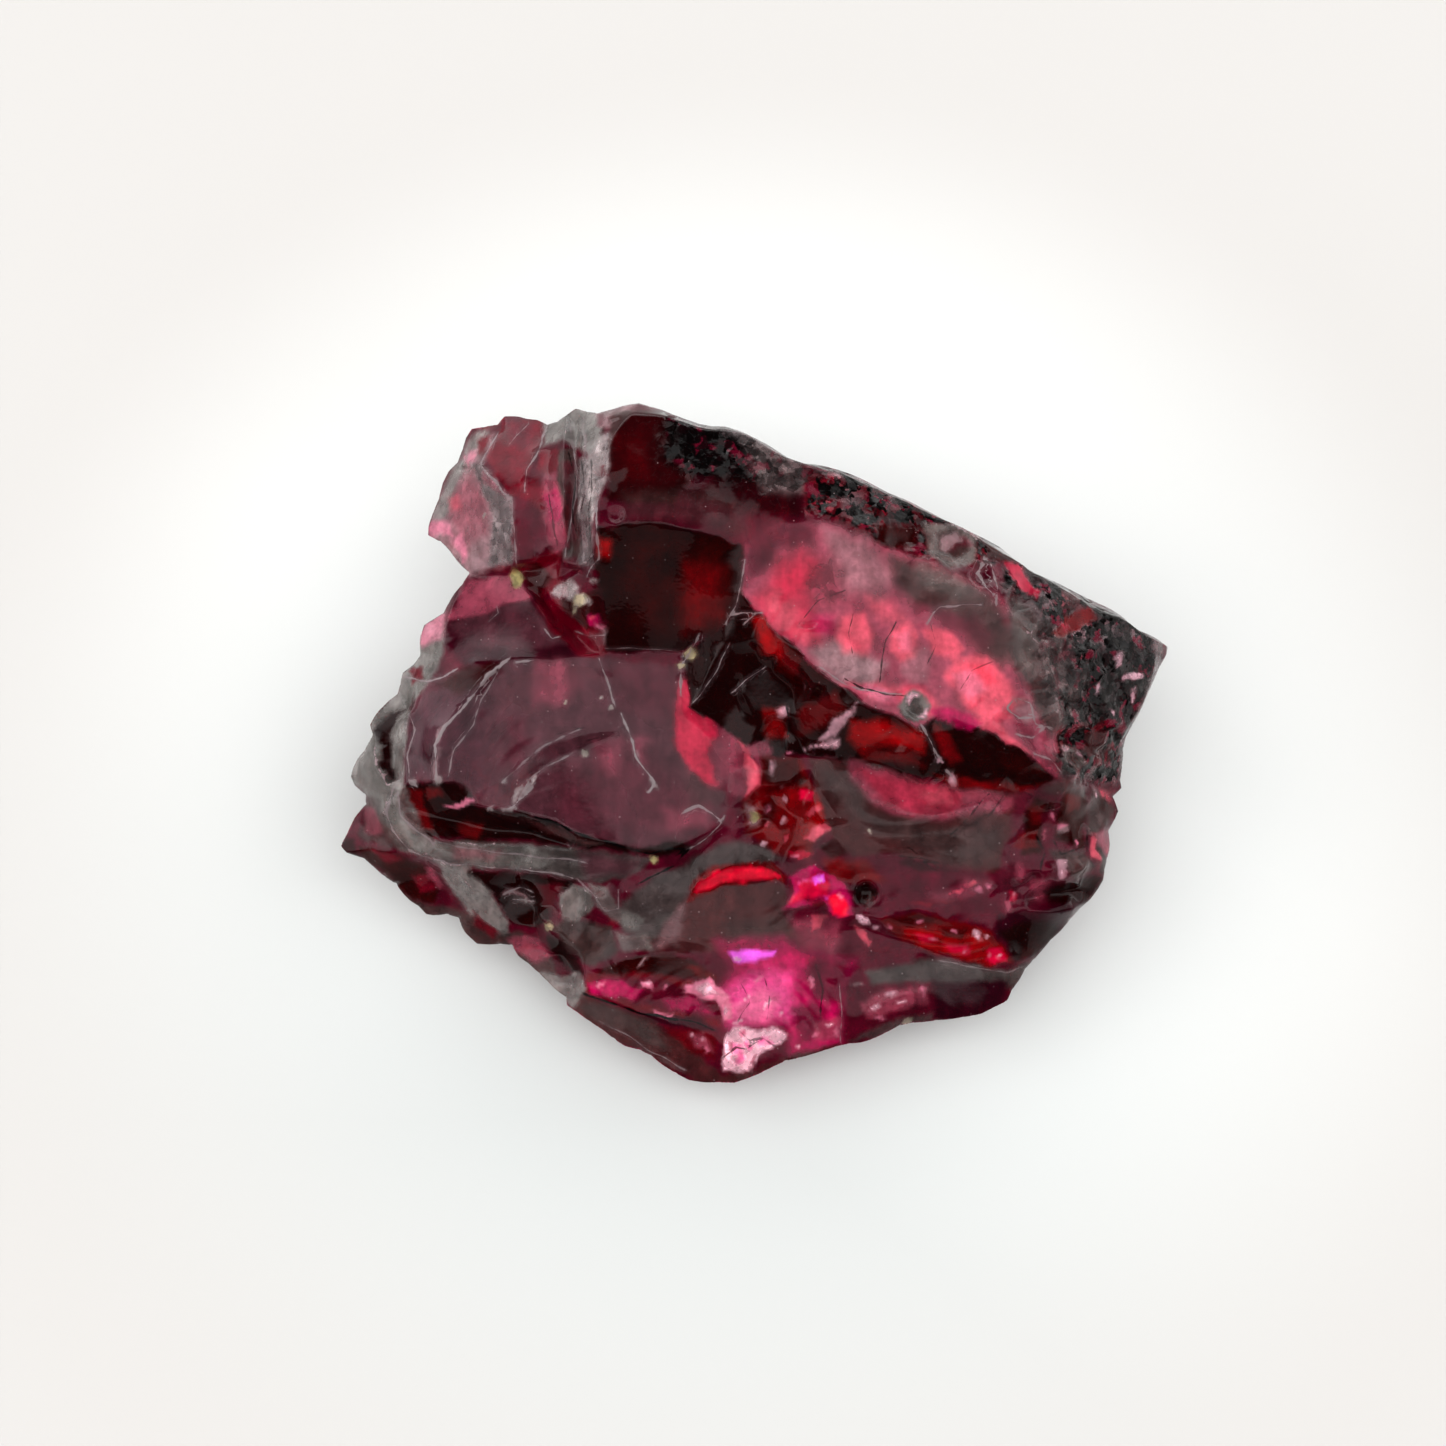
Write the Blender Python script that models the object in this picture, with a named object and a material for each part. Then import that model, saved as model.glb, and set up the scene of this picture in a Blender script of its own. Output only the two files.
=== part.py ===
"""A broken painite crystal, modelled as one closed faceted solid that rests on a flat face.

Every point is drawn in millimetres as (across, up, height). Across and up are measured on a drawing plane
that leans back, so that a steep face which looks forward still has width on it. Height is the point's real
height above the rest face. Two sheets share the rim: the broken upper side with its ledges, and the
underside with its foot and its overhang. Each sheet is held at its ridges, and between them it hangs like a
skin, which gives the smooth hollow faces between sharp edges that this crystal breaks into.
"""

import math

import bpy
import numpy as np
from mathutils import Vector, noise
from mathutils.geometry import delaunay_2d_cdt

MM = 0.001
LEAN = math.radians(70.0)  # the drawing plane's rays go down at this angle, towards the back
MIDDLE_HEIGHT = 5.0  # where a ray crosses this height, up is measured
RIM_STEP = 0.36
TOP_STEP = 0.32
UNDER_STEP = 0.6
LEAST_DEPTH = 0.15  # of the underside below a corner of the rim
LEAST_LIFT = 0.25  # of the underside's rough faces above the rest face
RIM_CALM = 1.2  # the crust grows to its full height this far from the rim
JUNCTION_REACH = 0.3  # a ridge that ends this near to a line is joined to it
RAGGED = 0.09  # how far broken edges wander off their drawn line
RAGGED_LENGTH = 0.9  # and over what length
RAGGED_SEED = 1795476869  # and which way: left alone, this noise starts from the clock
SHAKE = 0.22  # of the loose points, as a share of their spacing
CLEARANCE = 0.62  # between a loose point and a held one, as a share of the spacing
TILT_SCATTER = 5.3  # takes each small face's middle to a tilt unlike its neighbour's
MERGE = 1e-5
SEED = 7

# The rim, clockwise from the notch under the knob: the edge where the upper side meets the underside.
RIM = [
    # knob
    (-8.3, 4.9, 5.6), (-9.0, 5.65, 5.0), (-9.5, 6.1, 4.7), (-9.45, 6.75, 4.7), (-9.0, 7.9, 5.0),
    (-8.6, 8.5, 5.3), (-8.2, 9.0, 5.7), (-7.5, 9.05, 6.2), (-7.3, 9.3, 6.4), (-6.9, 9.4, 6.6),
    (-6.3, 9.35, 6.9), (-6.0, 9.2, 7.1), (-5.7, 9.25, 7.4), (-5.1, 9.6, 8.1), (-4.5, 9.57, 8.6),
    # back
    (-3.3, 9.55, 9.0), (-2.0, 9.25, 9.0), (-0.8, 8.95, 8.9), (0.0, 8.6, 8.8), (1.0, 8.25, 8.6),
    (1.8, 7.95, 8.5), (3.2, 7.35, 8.2), (4.1, 6.95, 8.0), (5.0, 6.5, 7.8), (6.0, 6.05, 7.5),
    (7.0, 5.55, 7.1), (7.5, 5.05, 7.0), (8.3, 4.65, 6.7), (9.5, 4.15, 6.2), (10.5, 3.6, 5.8),
    (10.9, 3.25, 5.6), (11.4, 3.05, 5.4), (11.8, 2.7, 5.2),
    # right
    (11.8, 2.45, 5.1), (11.3, 1.4, 4.8), (11.1, 0.8, 4.6), (10.6, -0.6, 4.2), (10.5, -1.1, 4.0),
    (10.55, -1.3, 3.9), (10.3, -1.55, 3.9), (10.45, -2.0, 3.7), (10.15, -2.6, 3.6), (10.25, -3.1, 3.4),
    (10.0, -4.0, 3.2), (9.6, -4.5, 3.1), (8.75, -5.4, 2.9), (7.7, -6.5, 2.7), (7.3, -7.1, 2.5),
    (7.2, -7.4, 2.4),
    # front
    (6.5, -7.7, 2.4), (5.5, -7.95, 2.4), (4.1, -8.15, 2.3), (3.0, -8.7, 2.2), (2.3, -8.8, 2.2),
    (0.9, -9.05, 2.2), (-0.1, -9.5, 2.1), (-0.6, -9.7, 2.0), (-1.1, -9.7, 2.0), (-1.9, -9.5, 2.0),
    (-3.0, -8.95, 2.0), (-4.0, -8.35, 2.0), (-4.8, -8.0, 2.0), (-5.4, -7.55, 2.0), (-5.4, -7.3, 2.1),
    (-5.9, -6.8, 2.2), (-6.8, -6.2, 2.3), (-7.0, -5.9, 2.4), (-8.0, -5.8, 2.3), (-8.4, -5.5, 2.3),
    (-8.6, -5.1, 2.4), (-8.9, -4.9, 2.4), (-9.5, -4.9, 2.3),
    # left
    (-10.0, -4.6, 2.4), (-10.35, -4.0, 2.6), (-11.0, -3.6, 2.7), (-11.75, -3.2, 2.8), (-11.9, -2.95, 2.8),
    (-11.6, -2.2, 3.0), (-11.35, -1.8, 3.2), (-11.35, -1.55, 3.3), (-11.65, -1.25, 3.3),
    (-11.75, -1.0, 3.4), (-11.3, -0.2, 3.8), (-11.1, 0.2, 4.0), (-11.2, 0.5, 4.0), (-10.9, 1.3, 4.3),
    (-10.1, 2.35, 4.8), (-9.9, 2.6, 4.9), (-9.6, 3.4, 5.1), (-9.0, 3.75, 5.3), (-8.7, 4.3, 5.4),
]

# Ridges, steps and creases of the upper side.
TOP_RIDGES = {
    # The plateau: its crest along the back, the smooth glowing face and its arched front edge.
    "crest": [(-4.5, 9.3, 9.0), (-3.5, 9.2, 9.7), (-2.0, 9.0, 9.9), (-0.8, 8.8, 9.9), (1.0, 8.0, 9.9),
              (2.0, 7.6, 9.8), (4.0, 6.75, 9.5), (6.0, 5.8, 9.0), (8.0, 4.6, 8.3), (10.0, 3.6, 7.2),
              (11.45, 2.85, 6.0), (11.4, 2.2, 5.9), (11.1, 1.3, 5.7), (10.7, 0.4, 5.4), (10.45, -0.2, 4.9),
              (10.6, -0.6, 4.2)],
    "window_top": [(-4.4, 5.9, 9.5), (-3.0, 6.1, 9.7), (-2.0, 5.9, 9.7), (-1.0, 5.7, 9.6), (-0.4, 5.4, 9.5),
                   (-0.35, 4.7, 9.35), (-0.35, 4.0, 9.2)],
    "arch": [(-0.35, 4.0, 9.2), (0.6, 3.0, 9.05), (1.7, 2.0, 8.9), (2.9, 1.1, 8.75), (3.6, 0.8, 8.6),
             (4.4, 0.35, 8.4), (5.0, 0.75, 8.3), (6.1, 0.4, 8.0), (7.2, -0.1, 7.6), (7.7, -0.5, 7.3),
             (8.3, -1.0, 6.9)],
    "face_back_edge": [(1.6, 6.1, 10.0), (2.3, 6.3, 10.0), (3.2, 5.6, 9.8), (5.0, 4.8, 9.5),
                       (6.5, 4.0, 9.2),
                       (7.5, 3.0, 8.8), (8.0, 2.5, 8.6), (8.3, 1.5, 8.2), (8.3, 0.5, 7.8),
                       (8.3, -1.0, 6.9)],
    "face_left_fold": [(-0.4, 5.4, 9.5), (0.6, 6.0, 9.9), (1.6, 6.1, 10.0)],
    "face_step": [(4.5, 3.4, 9.25), (5.2, 3.9, 9.3), (6.5, 3.9, 9.15)],
    "crust_edge": [(-2.4, 8.6, 9.9), (-1.6, 7.6, 9.85), (-0.2, 7.0, 9.9), (0.6, 6.0, 9.9)],
    # The window: a steep dark face under the plateau, left of the cliff.
    "window_left": [(-3.5, 9.2, 9.7), (-3.9, 8.7, 9.75), (-4.2, 8.2, 9.7), (-4.1, 7.6, 9.7),
                    (-4.4, 6.5, 9.6), (-4.4, 5.9, 9.5), (-4.5, 5.2, 8.9), (-4.6, 4.8, 8.5),
                    (-4.3, 3.9, 7.8), (-4.2, 3.3, 7.3), (-4.35, 2.5, 6.8)],
    "window_foot": [(-4.35, 2.5, 6.8), (-3.9, 2.6, 6.8), (-2.1, 2.55, 6.7)],
    "window_right": [(-0.35, 4.0, 9.2), (-0.8, 3.3, 8.4), (-1.5, 3.0, 7.6), (-2.1, 2.55, 6.7)],
    # The cliff under the arch.
    "cliff_left": [(-0.8, 3.3, 8.4), (-1.0, 2.6, 7.9), (-1.4, 1.8, 7.2), (-1.85, 1.0, 6.5)],
    "cliff_foot": [(-2.1, 2.55, 6.7), (-2.05, 1.75, 6.6), (-1.85, 1.0, 6.5), (-0.9, 0.4, 6.3),
                   (-0.4, 0.0, 6.2),
                   (-0.1, -0.4, 6.1), (0.8, -0.4, 5.9), (2.0, -0.4, 5.9), (3.0, -0.5, 5.9),
                   (4.0, -0.85, 5.8), (5.0, -1.2, 5.8), (6.0, -1.3, 5.9), (7.0, -1.35, 6.1),
                   (7.8, -1.3, 6.4), (8.3, -1.0, 6.9)],
    "cliff_shelf": [(-1.2, 1.2, 6.8), (-0.3, 1.7, 7.3), (0.25, 2.05, 7.6), (0.9, 1.5, 7.3),
                    (1.3, -0.2, 6.0)],
    "cliff_rib": [(2.6, 1.3, 8.8), (2.3, 0.5, 7.5), (1.3, -0.25, 6.0)],
    "cliff_rib_right": [(4.5, 0.4, 8.4), (5.0, -0.4, 7.1), (5.6, -1.25, 5.85)],
    # The knob, with the ribbed slope between it and the plateau.
    "knob_ridge": [(-7.4, 9.0, 6.5), (-7.95, 8.05, 6.8), (-7.6, 7.6, 7.0), (-7.0, 6.9, 7.3),
                   (-6.95, 6.0, 7.1), (-6.9, 5.1, 6.7)],
    "knob_right": [(-6.0, 9.2, 7.1), (-6.2, 8.5, 7.3), (-6.5, 8.0, 7.4), (-6.7, 7.5, 7.4),
                   (-6.6, 7.0, 7.4)],
    "knob_crease": [(-6.5, 9.3, 6.8), (-7.1, 8.6, 6.9)],
    "knob_lower": [(-7.0, 6.9, 7.3), (-6.6, 7.0, 7.4), (-6.2, 6.8, 7.5), (-5.95, 6.4, 7.5),
                   (-5.95, 5.6, 7.3),
                   (-6.3, 5.15, 6.8), (-6.9, 5.1, 6.7)],
    "knob_foot": [(-8.3, 4.9, 5.6), (-7.9, 4.95, 5.9), (-7.4, 5.0, 6.3), (-6.9, 5.1, 6.7)],
    "knob_left": [(-9.4, 6.5, 4.7), (-8.9, 6.2, 5.2), (-8.8, 5.8, 5.3), (-8.3, 5.25, 5.7),
                  (-7.9, 4.95, 5.9)],
    "rib_1": [(-4.9, 9.3, 8.6), (-4.8, 8.0, 8.9), (-4.9, 6.4, 8.8), (-5.0, 5.0, 8.1)],
    "rib_2": [(-5.4, 9.2, 8.0), (-5.4, 7.8, 8.3), (-5.4, 6.4, 8.2), (-5.4, 5.15, 7.5)],
    "rib_groove": [(-5.1, 9.0, 8.0), (-5.1, 7.6, 8.2), (-5.2, 6.2, 8.0), (-5.15, 5.1, 7.4)],
    # The pocket under the knob and the trench that runs down from it.
    "pocket_top": [(-6.9, 4.9, 6.1), (-6.3, 4.9, 6.3), (-5.7, 5.2, 6.9), (-5.2, 4.9, 7.5),
                   (-4.6, 4.8, 8.5)],
    "trench_left": [(-8.3, 4.8, 5.5), (-7.4, 4.8, 5.9), (-6.9, 4.75, 6.1), (-6.6, 4.4, 6.3),
                    (-6.1, 3.8, 6.5),
                    (-5.6, 3.0, 6.7), (-5.0, 2.4, 6.8)],
    "trench_floor": [(-6.3, 4.4, 6.0), (-5.8, 3.7, 6.2), (-5.2, 3.1, 6.4), (-4.7, 2.6, 6.6)],
    "trench_right": [(-5.6, 4.7, 6.9), (-5.8, 4.1, 6.8), (-5.2, 3.5, 6.9), (-4.9, 3.2, 6.9),
                     (-4.35, 2.5, 6.8)],
    "pale_chunk": [(-5.6, 4.7, 6.9), (-5.2, 4.3, 7.5), (-4.7, 3.8, 7.5), (-4.9, 3.2, 6.9)],
    # The upper left face, with its crusted outer corner.
    "left_face_foot": [(-4.35, 2.5, 6.8), (-5.0, 2.4, 6.8), (-7.0, 2.35, 6.6), (-8.0, 2.3, 6.3),
                       (-8.5, 2.1, 6.0)],
    "left_face_side": [(-8.5, 2.1, 6.0), (-8.9, 2.8, 5.8), (-8.9, 3.4, 5.7), (-8.7, 4.0, 5.6),
                       (-8.4, 4.6, 5.55)],
    "left_corner": [(-8.9, 2.8, 5.8), (-9.3, 2.5, 5.5), (-9.9, 2.6, 4.9)],
    "left_corner_low": [(-8.5, 2.1, 6.0), (-9.2, 1.7, 5.6), (-10.4, 1.9, 4.6)],
    # The broad smooth face: its border, and the steps that the break left across it.
    "broad_left": [(-9.2, 1.7, 5.6), (-9.6, 1.3, 5.4), (-9.9, 0.9, 5.2), (-10.0, 0.0, 5.1),
                   (-9.95, -1.1, 5.1)],
    "broad_foot": [(-9.95, -1.1, 5.1), (-9.0, -1.15, 5.5), (-8.5, -1.1, 5.6), (-8.0, -1.3, 5.6),
                   (-7.8, -1.7, 5.55), (-6.8, -1.95, 5.55), (-5.6, -2.2, 5.55), (-5.0, -2.6, 5.45),
                   (-4.0, -2.85, 5.35), (-2.5, -3.0, 5.25), (-1.5, -2.6, 5.35), (-1.0, -2.2, 5.45),
                   (-0.8, -1.8, 5.55), (-0.3, -1.6, 5.7), (0.1, -1.2, 5.9), (0.1, -0.8, 6.0),
                   (-0.1, -0.4, 6.1)],
    "broad_step_1": [(-7.0, 2.35, 6.6), (-7.6, 1.9, 6.5), (-8.1, 1.2, 6.35), (-8.8, 0.4, 6.1),
                     (-9.1, -0.1, 5.9),
                     (-9.0, -1.15, 5.5)],
    "broad_step_2": [(-7.2, 2.0, 6.35), (-7.7, 1.3, 6.2), (-8.0, 0.6, 6.05), (-8.5, -0.1, 5.85),
                     (-8.6, -0.9, 5.6)],
    "broad_crack": [(-4.4, 2.3, 6.75), (-4.2, 1.7, 6.45), (-4.0, 1.1, 6.25), (-3.5, 0.0, 5.95),
                    (-3.2, -0.7, 5.8), (-2.9, -1.0, 5.75), (-3.0, -1.4, 5.65)],
    "broad_wave_high": [(-4.0, 0.25, 6.0), (-4.8, 0.3, 6.05), (-5.7, 0.0, 6.0), (-6.4, -0.5, 5.9),
                        (-7.0, -1.1, 5.75)],
    "broad_wave_low": [(-3.9, 0.2, 5.95), (-4.5, -0.05, 5.8), (-5.3, -0.3, 5.7), (-6.0, -0.75, 5.6),
                       (-6.3, -1.2, 5.55), (-6.7, -1.9, 5.55)],
    "broad_crescent": [(-2.1, 2.0, 6.55), (-2.2, 1.4, 6.3), (-2.0, 0.7, 6.1), (-1.4, 0.1, 5.95),
                       (-1.0, -0.5, 5.8),
                       (-0.8, -1.1, 5.65), (-0.8, -1.8, 5.55)],
    # The dark trough under it, and the shelf with a bright edge.
    "trough": [(-9.8, -1.9, 4.5), (-8.8, -2.2, 4.5), (-7.5, -2.45, 4.55), (-6.3, -2.6, 4.65),
               (-5.3, -2.9, 4.9)],
    "shelf_back": [(-9.5, -2.5, 4.6), (-9.0, -2.75, 4.7), (-8.0, -2.85, 4.75), (-6.0, -2.9, 4.85),
                   (-5.2, -3.0, 5.0), (-4.0, -2.85, 5.35)],
    "shelf_edge": [(-9.3, -3.2, 4.2), (-8.7, -3.5, 4.25), (-8.0, -3.5, 4.3), (-6.0, -3.65, 4.45),
                   (-5.2, -3.9, 4.4), (-4.6, -4.0, 4.4), (-4.1, -4.3, 4.3), (-3.8, -4.6, 4.15)],
    "saddle_ridge": [(-3.8, -4.4, 4.35), (-3.2, -3.8, 4.7), (-2.2, -3.3, 5.0), (-2.0, -2.9, 5.3)],
    "saddle_groove": [(-1.8, -4.2, 4.5), (-1.8, -3.7, 4.6), (-1.6, -3.2, 4.8), (-1.2, -2.8, 5.0),
                      (-0.7, -2.3, 5.3)],
    # The stepped left rim.
    "left_slot": [(-10.1, 1.1, 4.7), (-10.5, 0.5, 4.3), (-10.4, -0.3, 4.3), (-10.4, -1.0, 4.3)],
    "left_wall": [(-11.1, 0.2, 4.0), (-10.9, -0.3, 4.4), (-10.6, -1.0, 4.6), (-10.4, -1.5, 4.6),
                  (-10.6, -2.0, 4.3),
                  (-10.4, -2.5, 4.1), (-9.5, -3.2, 4.1), (-9.3, -3.2, 4.2)],
    "left_wall_inner": [(-9.95, -1.1, 5.1), (-10.2, -1.6, 4.75), (-10.1, -2.1, 4.5), (-9.5, -2.5, 4.6)],
    "left_wall_spur": [(-11.65, -1.1, 3.4), (-11.0, -1.4, 4.0), (-10.4, -1.5, 4.6)],
    "left_shelf": [(-11.6, -3.05, 2.9), (-10.5, -3.1, 3.5), (-9.5, -3.4, 3.7), (-9.1, -3.9, 3.3)],
    # Chips and hollows below the shelf.
    "leaf_left": [(-9.3, -3.2, 4.2), (-9.1, -3.9, 3.3), (-8.5, -4.5, 3.0), (-8.0, -5.0, 2.9),
                  (-7.4, -5.4, 2.8)],
    "leaf_right": [(-8.0, -3.5, 4.3), (-7.7, -4.0, 3.9), (-7.3, -4.6, 3.5), (-7.1, -5.2, 3.1),
                   (-7.4, -5.4, 2.8)],
    "boss_left": [(-5.2, -3.9, 4.4), (-5.5, -4.3, 4.2), (-5.6, -4.9, 3.8), (-5.5, -5.3, 3.6),
                  (-5.0, -6.0, 3.3),
                  (-4.8, -6.5, 3.1)],
    "boss_right": [(-4.6, -4.0, 4.4), (-4.5, -4.9, 3.9), (-4.0, -5.0, 3.9), (-4.3, -5.7, 3.5),
                   (-4.8, -6.5, 3.1)],
    "hollow_floor": [(-7.3, -4.1, 3.6), (-6.6, -4.4, 3.0), (-6.3, -4.9, 2.9)],
    "hollow_front": [(-7.1, -5.2, 3.1), (-6.3, -5.3, 3.1), (-5.5, -5.3, 3.6)],
    "low_hollow": [(-6.2, -5.9, 2.4), (-5.6, -6.1, 2.3), (-5.2, -6.6, 2.3)],
    "front_left_chip": [(-4.8, -6.5, 3.1), (-4.9, -7.1, 2.8), (-5.4, -7.3, 2.1)],
    "round_facet": [(-3.8, -4.6, 4.15), (-3.5, -5.1, 3.95), (-2.9, -5.5, 3.9)],
    # The fan: a grey face under a red crescent.
    "fan_top": [(-1.8, -4.3, 4.5), (-1.6, -3.9, 4.75), (-0.6, -3.45, 4.8), (0.2, -3.4, 4.7),
                (0.8, -3.7, 4.55)],
    "fan_crescent": [(-1.7, -4.35, 4.35), (-1.0, -4.05, 4.3), (0.0, -3.95, 4.25), (0.8, -3.85, 4.3)],
    "fan_left": [(-1.8, -4.3, 4.5), (-2.3, -4.9, 4.15), (-2.6, -5.3, 4.0), (-2.7, -5.7, 3.95)],
    "fan_right": [(0.8, -3.7, 4.55), (1.7, -3.8, 4.6), (2.4, -4.3, 4.4), (3.1, -4.6, 4.2)],
    # The thin clear lobe at the front.
    "lobe_top": [(-4.8, -6.5, 3.2), (-4.0, -6.15, 3.7), (-3.0, -5.95, 4.0), (-1.9, -6.0, 3.9),
                 (-1.5, -6.3, 3.7),
                 (-1.1, -6.7, 3.5)],
    "lobe_lip": [(-4.9, -7.1, 2.9), (-4.0, -7.4, 3.1), (-3.2, -7.7, 3.1), (-2.0, -7.95, 3.1),
                 (-1.2, -8.3, 3.0),
                 (-0.4, -9.0, 2.7)],
    "lobe_crease": [(2.3, -6.9, 3.3), (2.4, -7.6, 3.0), (2.4, -8.7, 2.2)],
    "lobe_streak": [(3.3, -7.5, 3.0), (4.2, -7.1, 3.1), (5.0, -6.9, 3.1)],
    # The glowing band and the lip at the front right.
    "band_top": [(2.8, -4.9, 4.2), (3.5, -5.0, 4.3), (4.5, -4.75, 4.45), (5.3, -5.0, 4.35),
                 (6.6, -5.3, 4.1),
                 (7.1, -5.8, 3.7), (7.6, -6.2, 3.2)],
    "band_foot": [(3.1, -5.3, 3.7), (4.2, -5.6, 3.5), (5.0, -5.9, 3.3), (6.0, -6.3, 3.2), (7.0, -6.4, 3.1),
                  (7.6, -6.2, 3.2), (8.3, -5.9, 2.9)],
    "band_lip": [(2.6, -6.7, 3.1), (3.2, -6.3, 3.35), (3.9, -6.1, 3.4), (5.0, -5.9, 3.3)],
    # The scallop right of the middle, and the lumps beyond it.
    "scallop_left": [(1.5, -0.45, 5.9), (1.7, -1.3, 5.75), (2.3, -2.1, 5.5), (2.2, -2.6, 5.3),
                     (2.5, -2.9, 5.15),
                     (3.0, -3.4, 4.95)],
    "scallop_arc": [(2.6, -0.8, 5.6), (3.2, -1.6, 5.25), (4.2, -2.0, 5.1), (5.3, -2.05, 5.1),
                    (6.3, -1.7, 5.35),
                    (6.9, -1.4, 5.8)],
    "scallop_foot": [(3.0, -3.4, 4.95), (4.2, -3.1, 5.1), (5.4, -3.5, 5.0), (6.8, -3.7, 4.8)],
    "scallop_right": [(7.8, -1.3, 6.4), (7.5, -2.0, 5.7), (7.0, -2.9, 5.3), (6.8, -3.7, 4.8),
                      (6.9, -4.6, 4.4),
                      (6.6, -5.3, 4.1)],
    "lump_1": [(7.8, -1.3, 6.4), (8.6, -1.7, 5.9), (9.4, -1.5, 5.2), (10.3, -1.55, 3.9)],
    "lump_2": [(7.2, -2.6, 5.4), (8.2, -2.5, 5.3), (9.0, -2.8, 5.0), (9.6, -2.6, 4.7), (10.15, -2.6, 3.6)],
    "black_pocket": [(8.0, -4.4, 3.9), (9.0, -4.2, 3.6), (9.6, -4.1, 3.4)],
    "pocket_brow": [(6.8, -3.7, 4.8), (8.2, -3.9, 4.8), (9.2, -3.5, 4.7), (10.2, -3.3, 3.5)],
    "pocket_lip": [(6.9, -4.6, 4.4), (8.3, -4.8, 4.1), (9.0, -4.7, 3.8), (9.6, -4.5, 3.1)],
    # The broken pocket in the middle.
    "middle_left": [(-0.3, -1.6, 5.7), (-0.4, -2.3, 5.3), (0.0, -2.9, 5.1), (0.8, -3.7, 4.55)],
    "middle_right": [(2.2, -2.6, 5.3), (1.7, -3.1, 5.0), (1.7, -3.8, 4.6)],
    "middle_floor": [(0.4, -1.2, 5.3), (0.6, -1.8, 4.9), (1.2, -2.2, 4.8), (1.0, -2.9, 4.8)],
    "middle_spur": [(0.8, -0.4, 5.9), (0.9, -1.1, 5.7), (1.4, -1.5, 5.3), (1.2, -2.2, 4.8)],
}

# Faces that are hollow (positive) or swell (negative): middle across, up, radius, depth.
TOP_DISHES = [
    (-5.5, 0.2, 4.5, 0.30), (-7.0, 3.5, 2.0, 0.25), (3.5, 3.4, 3.6, 0.25), (4.5, -1.6, 2.6, 0.20),
    (-0.6, -5.0, 2.0, 0.15), (-2.4, 4.4, 2.0, 0.15), (1.0, -7.4, 2.4, 0.15), (5.0, -4.2, 1.6, -0.12),
    (-8.6, 7.4, 1.4, -0.15), (-3.0, 7.6, 1.6, 0.10), (5.6, -7.0, 1.4, -0.15), (-2.6, -4.4, 1.4, -0.12),
]

# Broken crust: middle across, up, radius, how far its small faces stand out, and how long they are.
TOP_CRUSTS = [
    # grains
    (-0.6, 8.0, 2.2, 0.16, 0.5), (2.6, 7.0, 1.8, 0.14, 0.5), (5.4, 5.5, 1.6, 0.18, 0.6),
    (7.6, 4.2, 1.4, 0.18, 0.6),
    (9.6, 1.6, 2.8, 0.24, 0.6), (9.6, -0.6, 1.8, 0.24, 0.6), (-9.4, 2.2, 1.0, 0.10, 0.5),
    (-5.4, 5.2, 1.2, 0.14, 0.5),
    (-6.0, -5.0, 2.2, 0.10, 0.5), (-10.0, -3.8, 1.6, 0.12, 0.5), (2.0, -4.4, 1.2, 0.10, 0.5),
    # chips
    (1.0, 1.6, 2.6, 0.30, 1.3), (5.0, 0.0, 2.4, 0.22, 1.2), (9.0, 2.4, 3.2, 0.34, 1.7),
    (9.0, -2.2, 2.6, 0.34, 1.3),
    (0.8, -2.0, 2.0, 0.34, 1.0), (-10.4, -1.6, 2.4, 0.20, 1.1), (-6.4, -5.2, 2.8, 0.30, 1.3),
    (-5.0, 7.0, 2.2, 0.18, 1.0), (-8.4, 7.2, 2.0, 0.16, 1.5), (5.4, -5.6, 2.4, 0.16, 1.2),
    (8.6, -5.0, 1.8, 0.24, 1.2),
    (1.6, -7.6, 3.0, 0.14, 1.4), (-2.6, -7.4, 2.4, 0.16, 1.3), (4.6, 5.8, 2.4, 0.16, 1.2),
    (-3.6, -3.9, 1.8, 0.12, 1.1),
]

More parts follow.
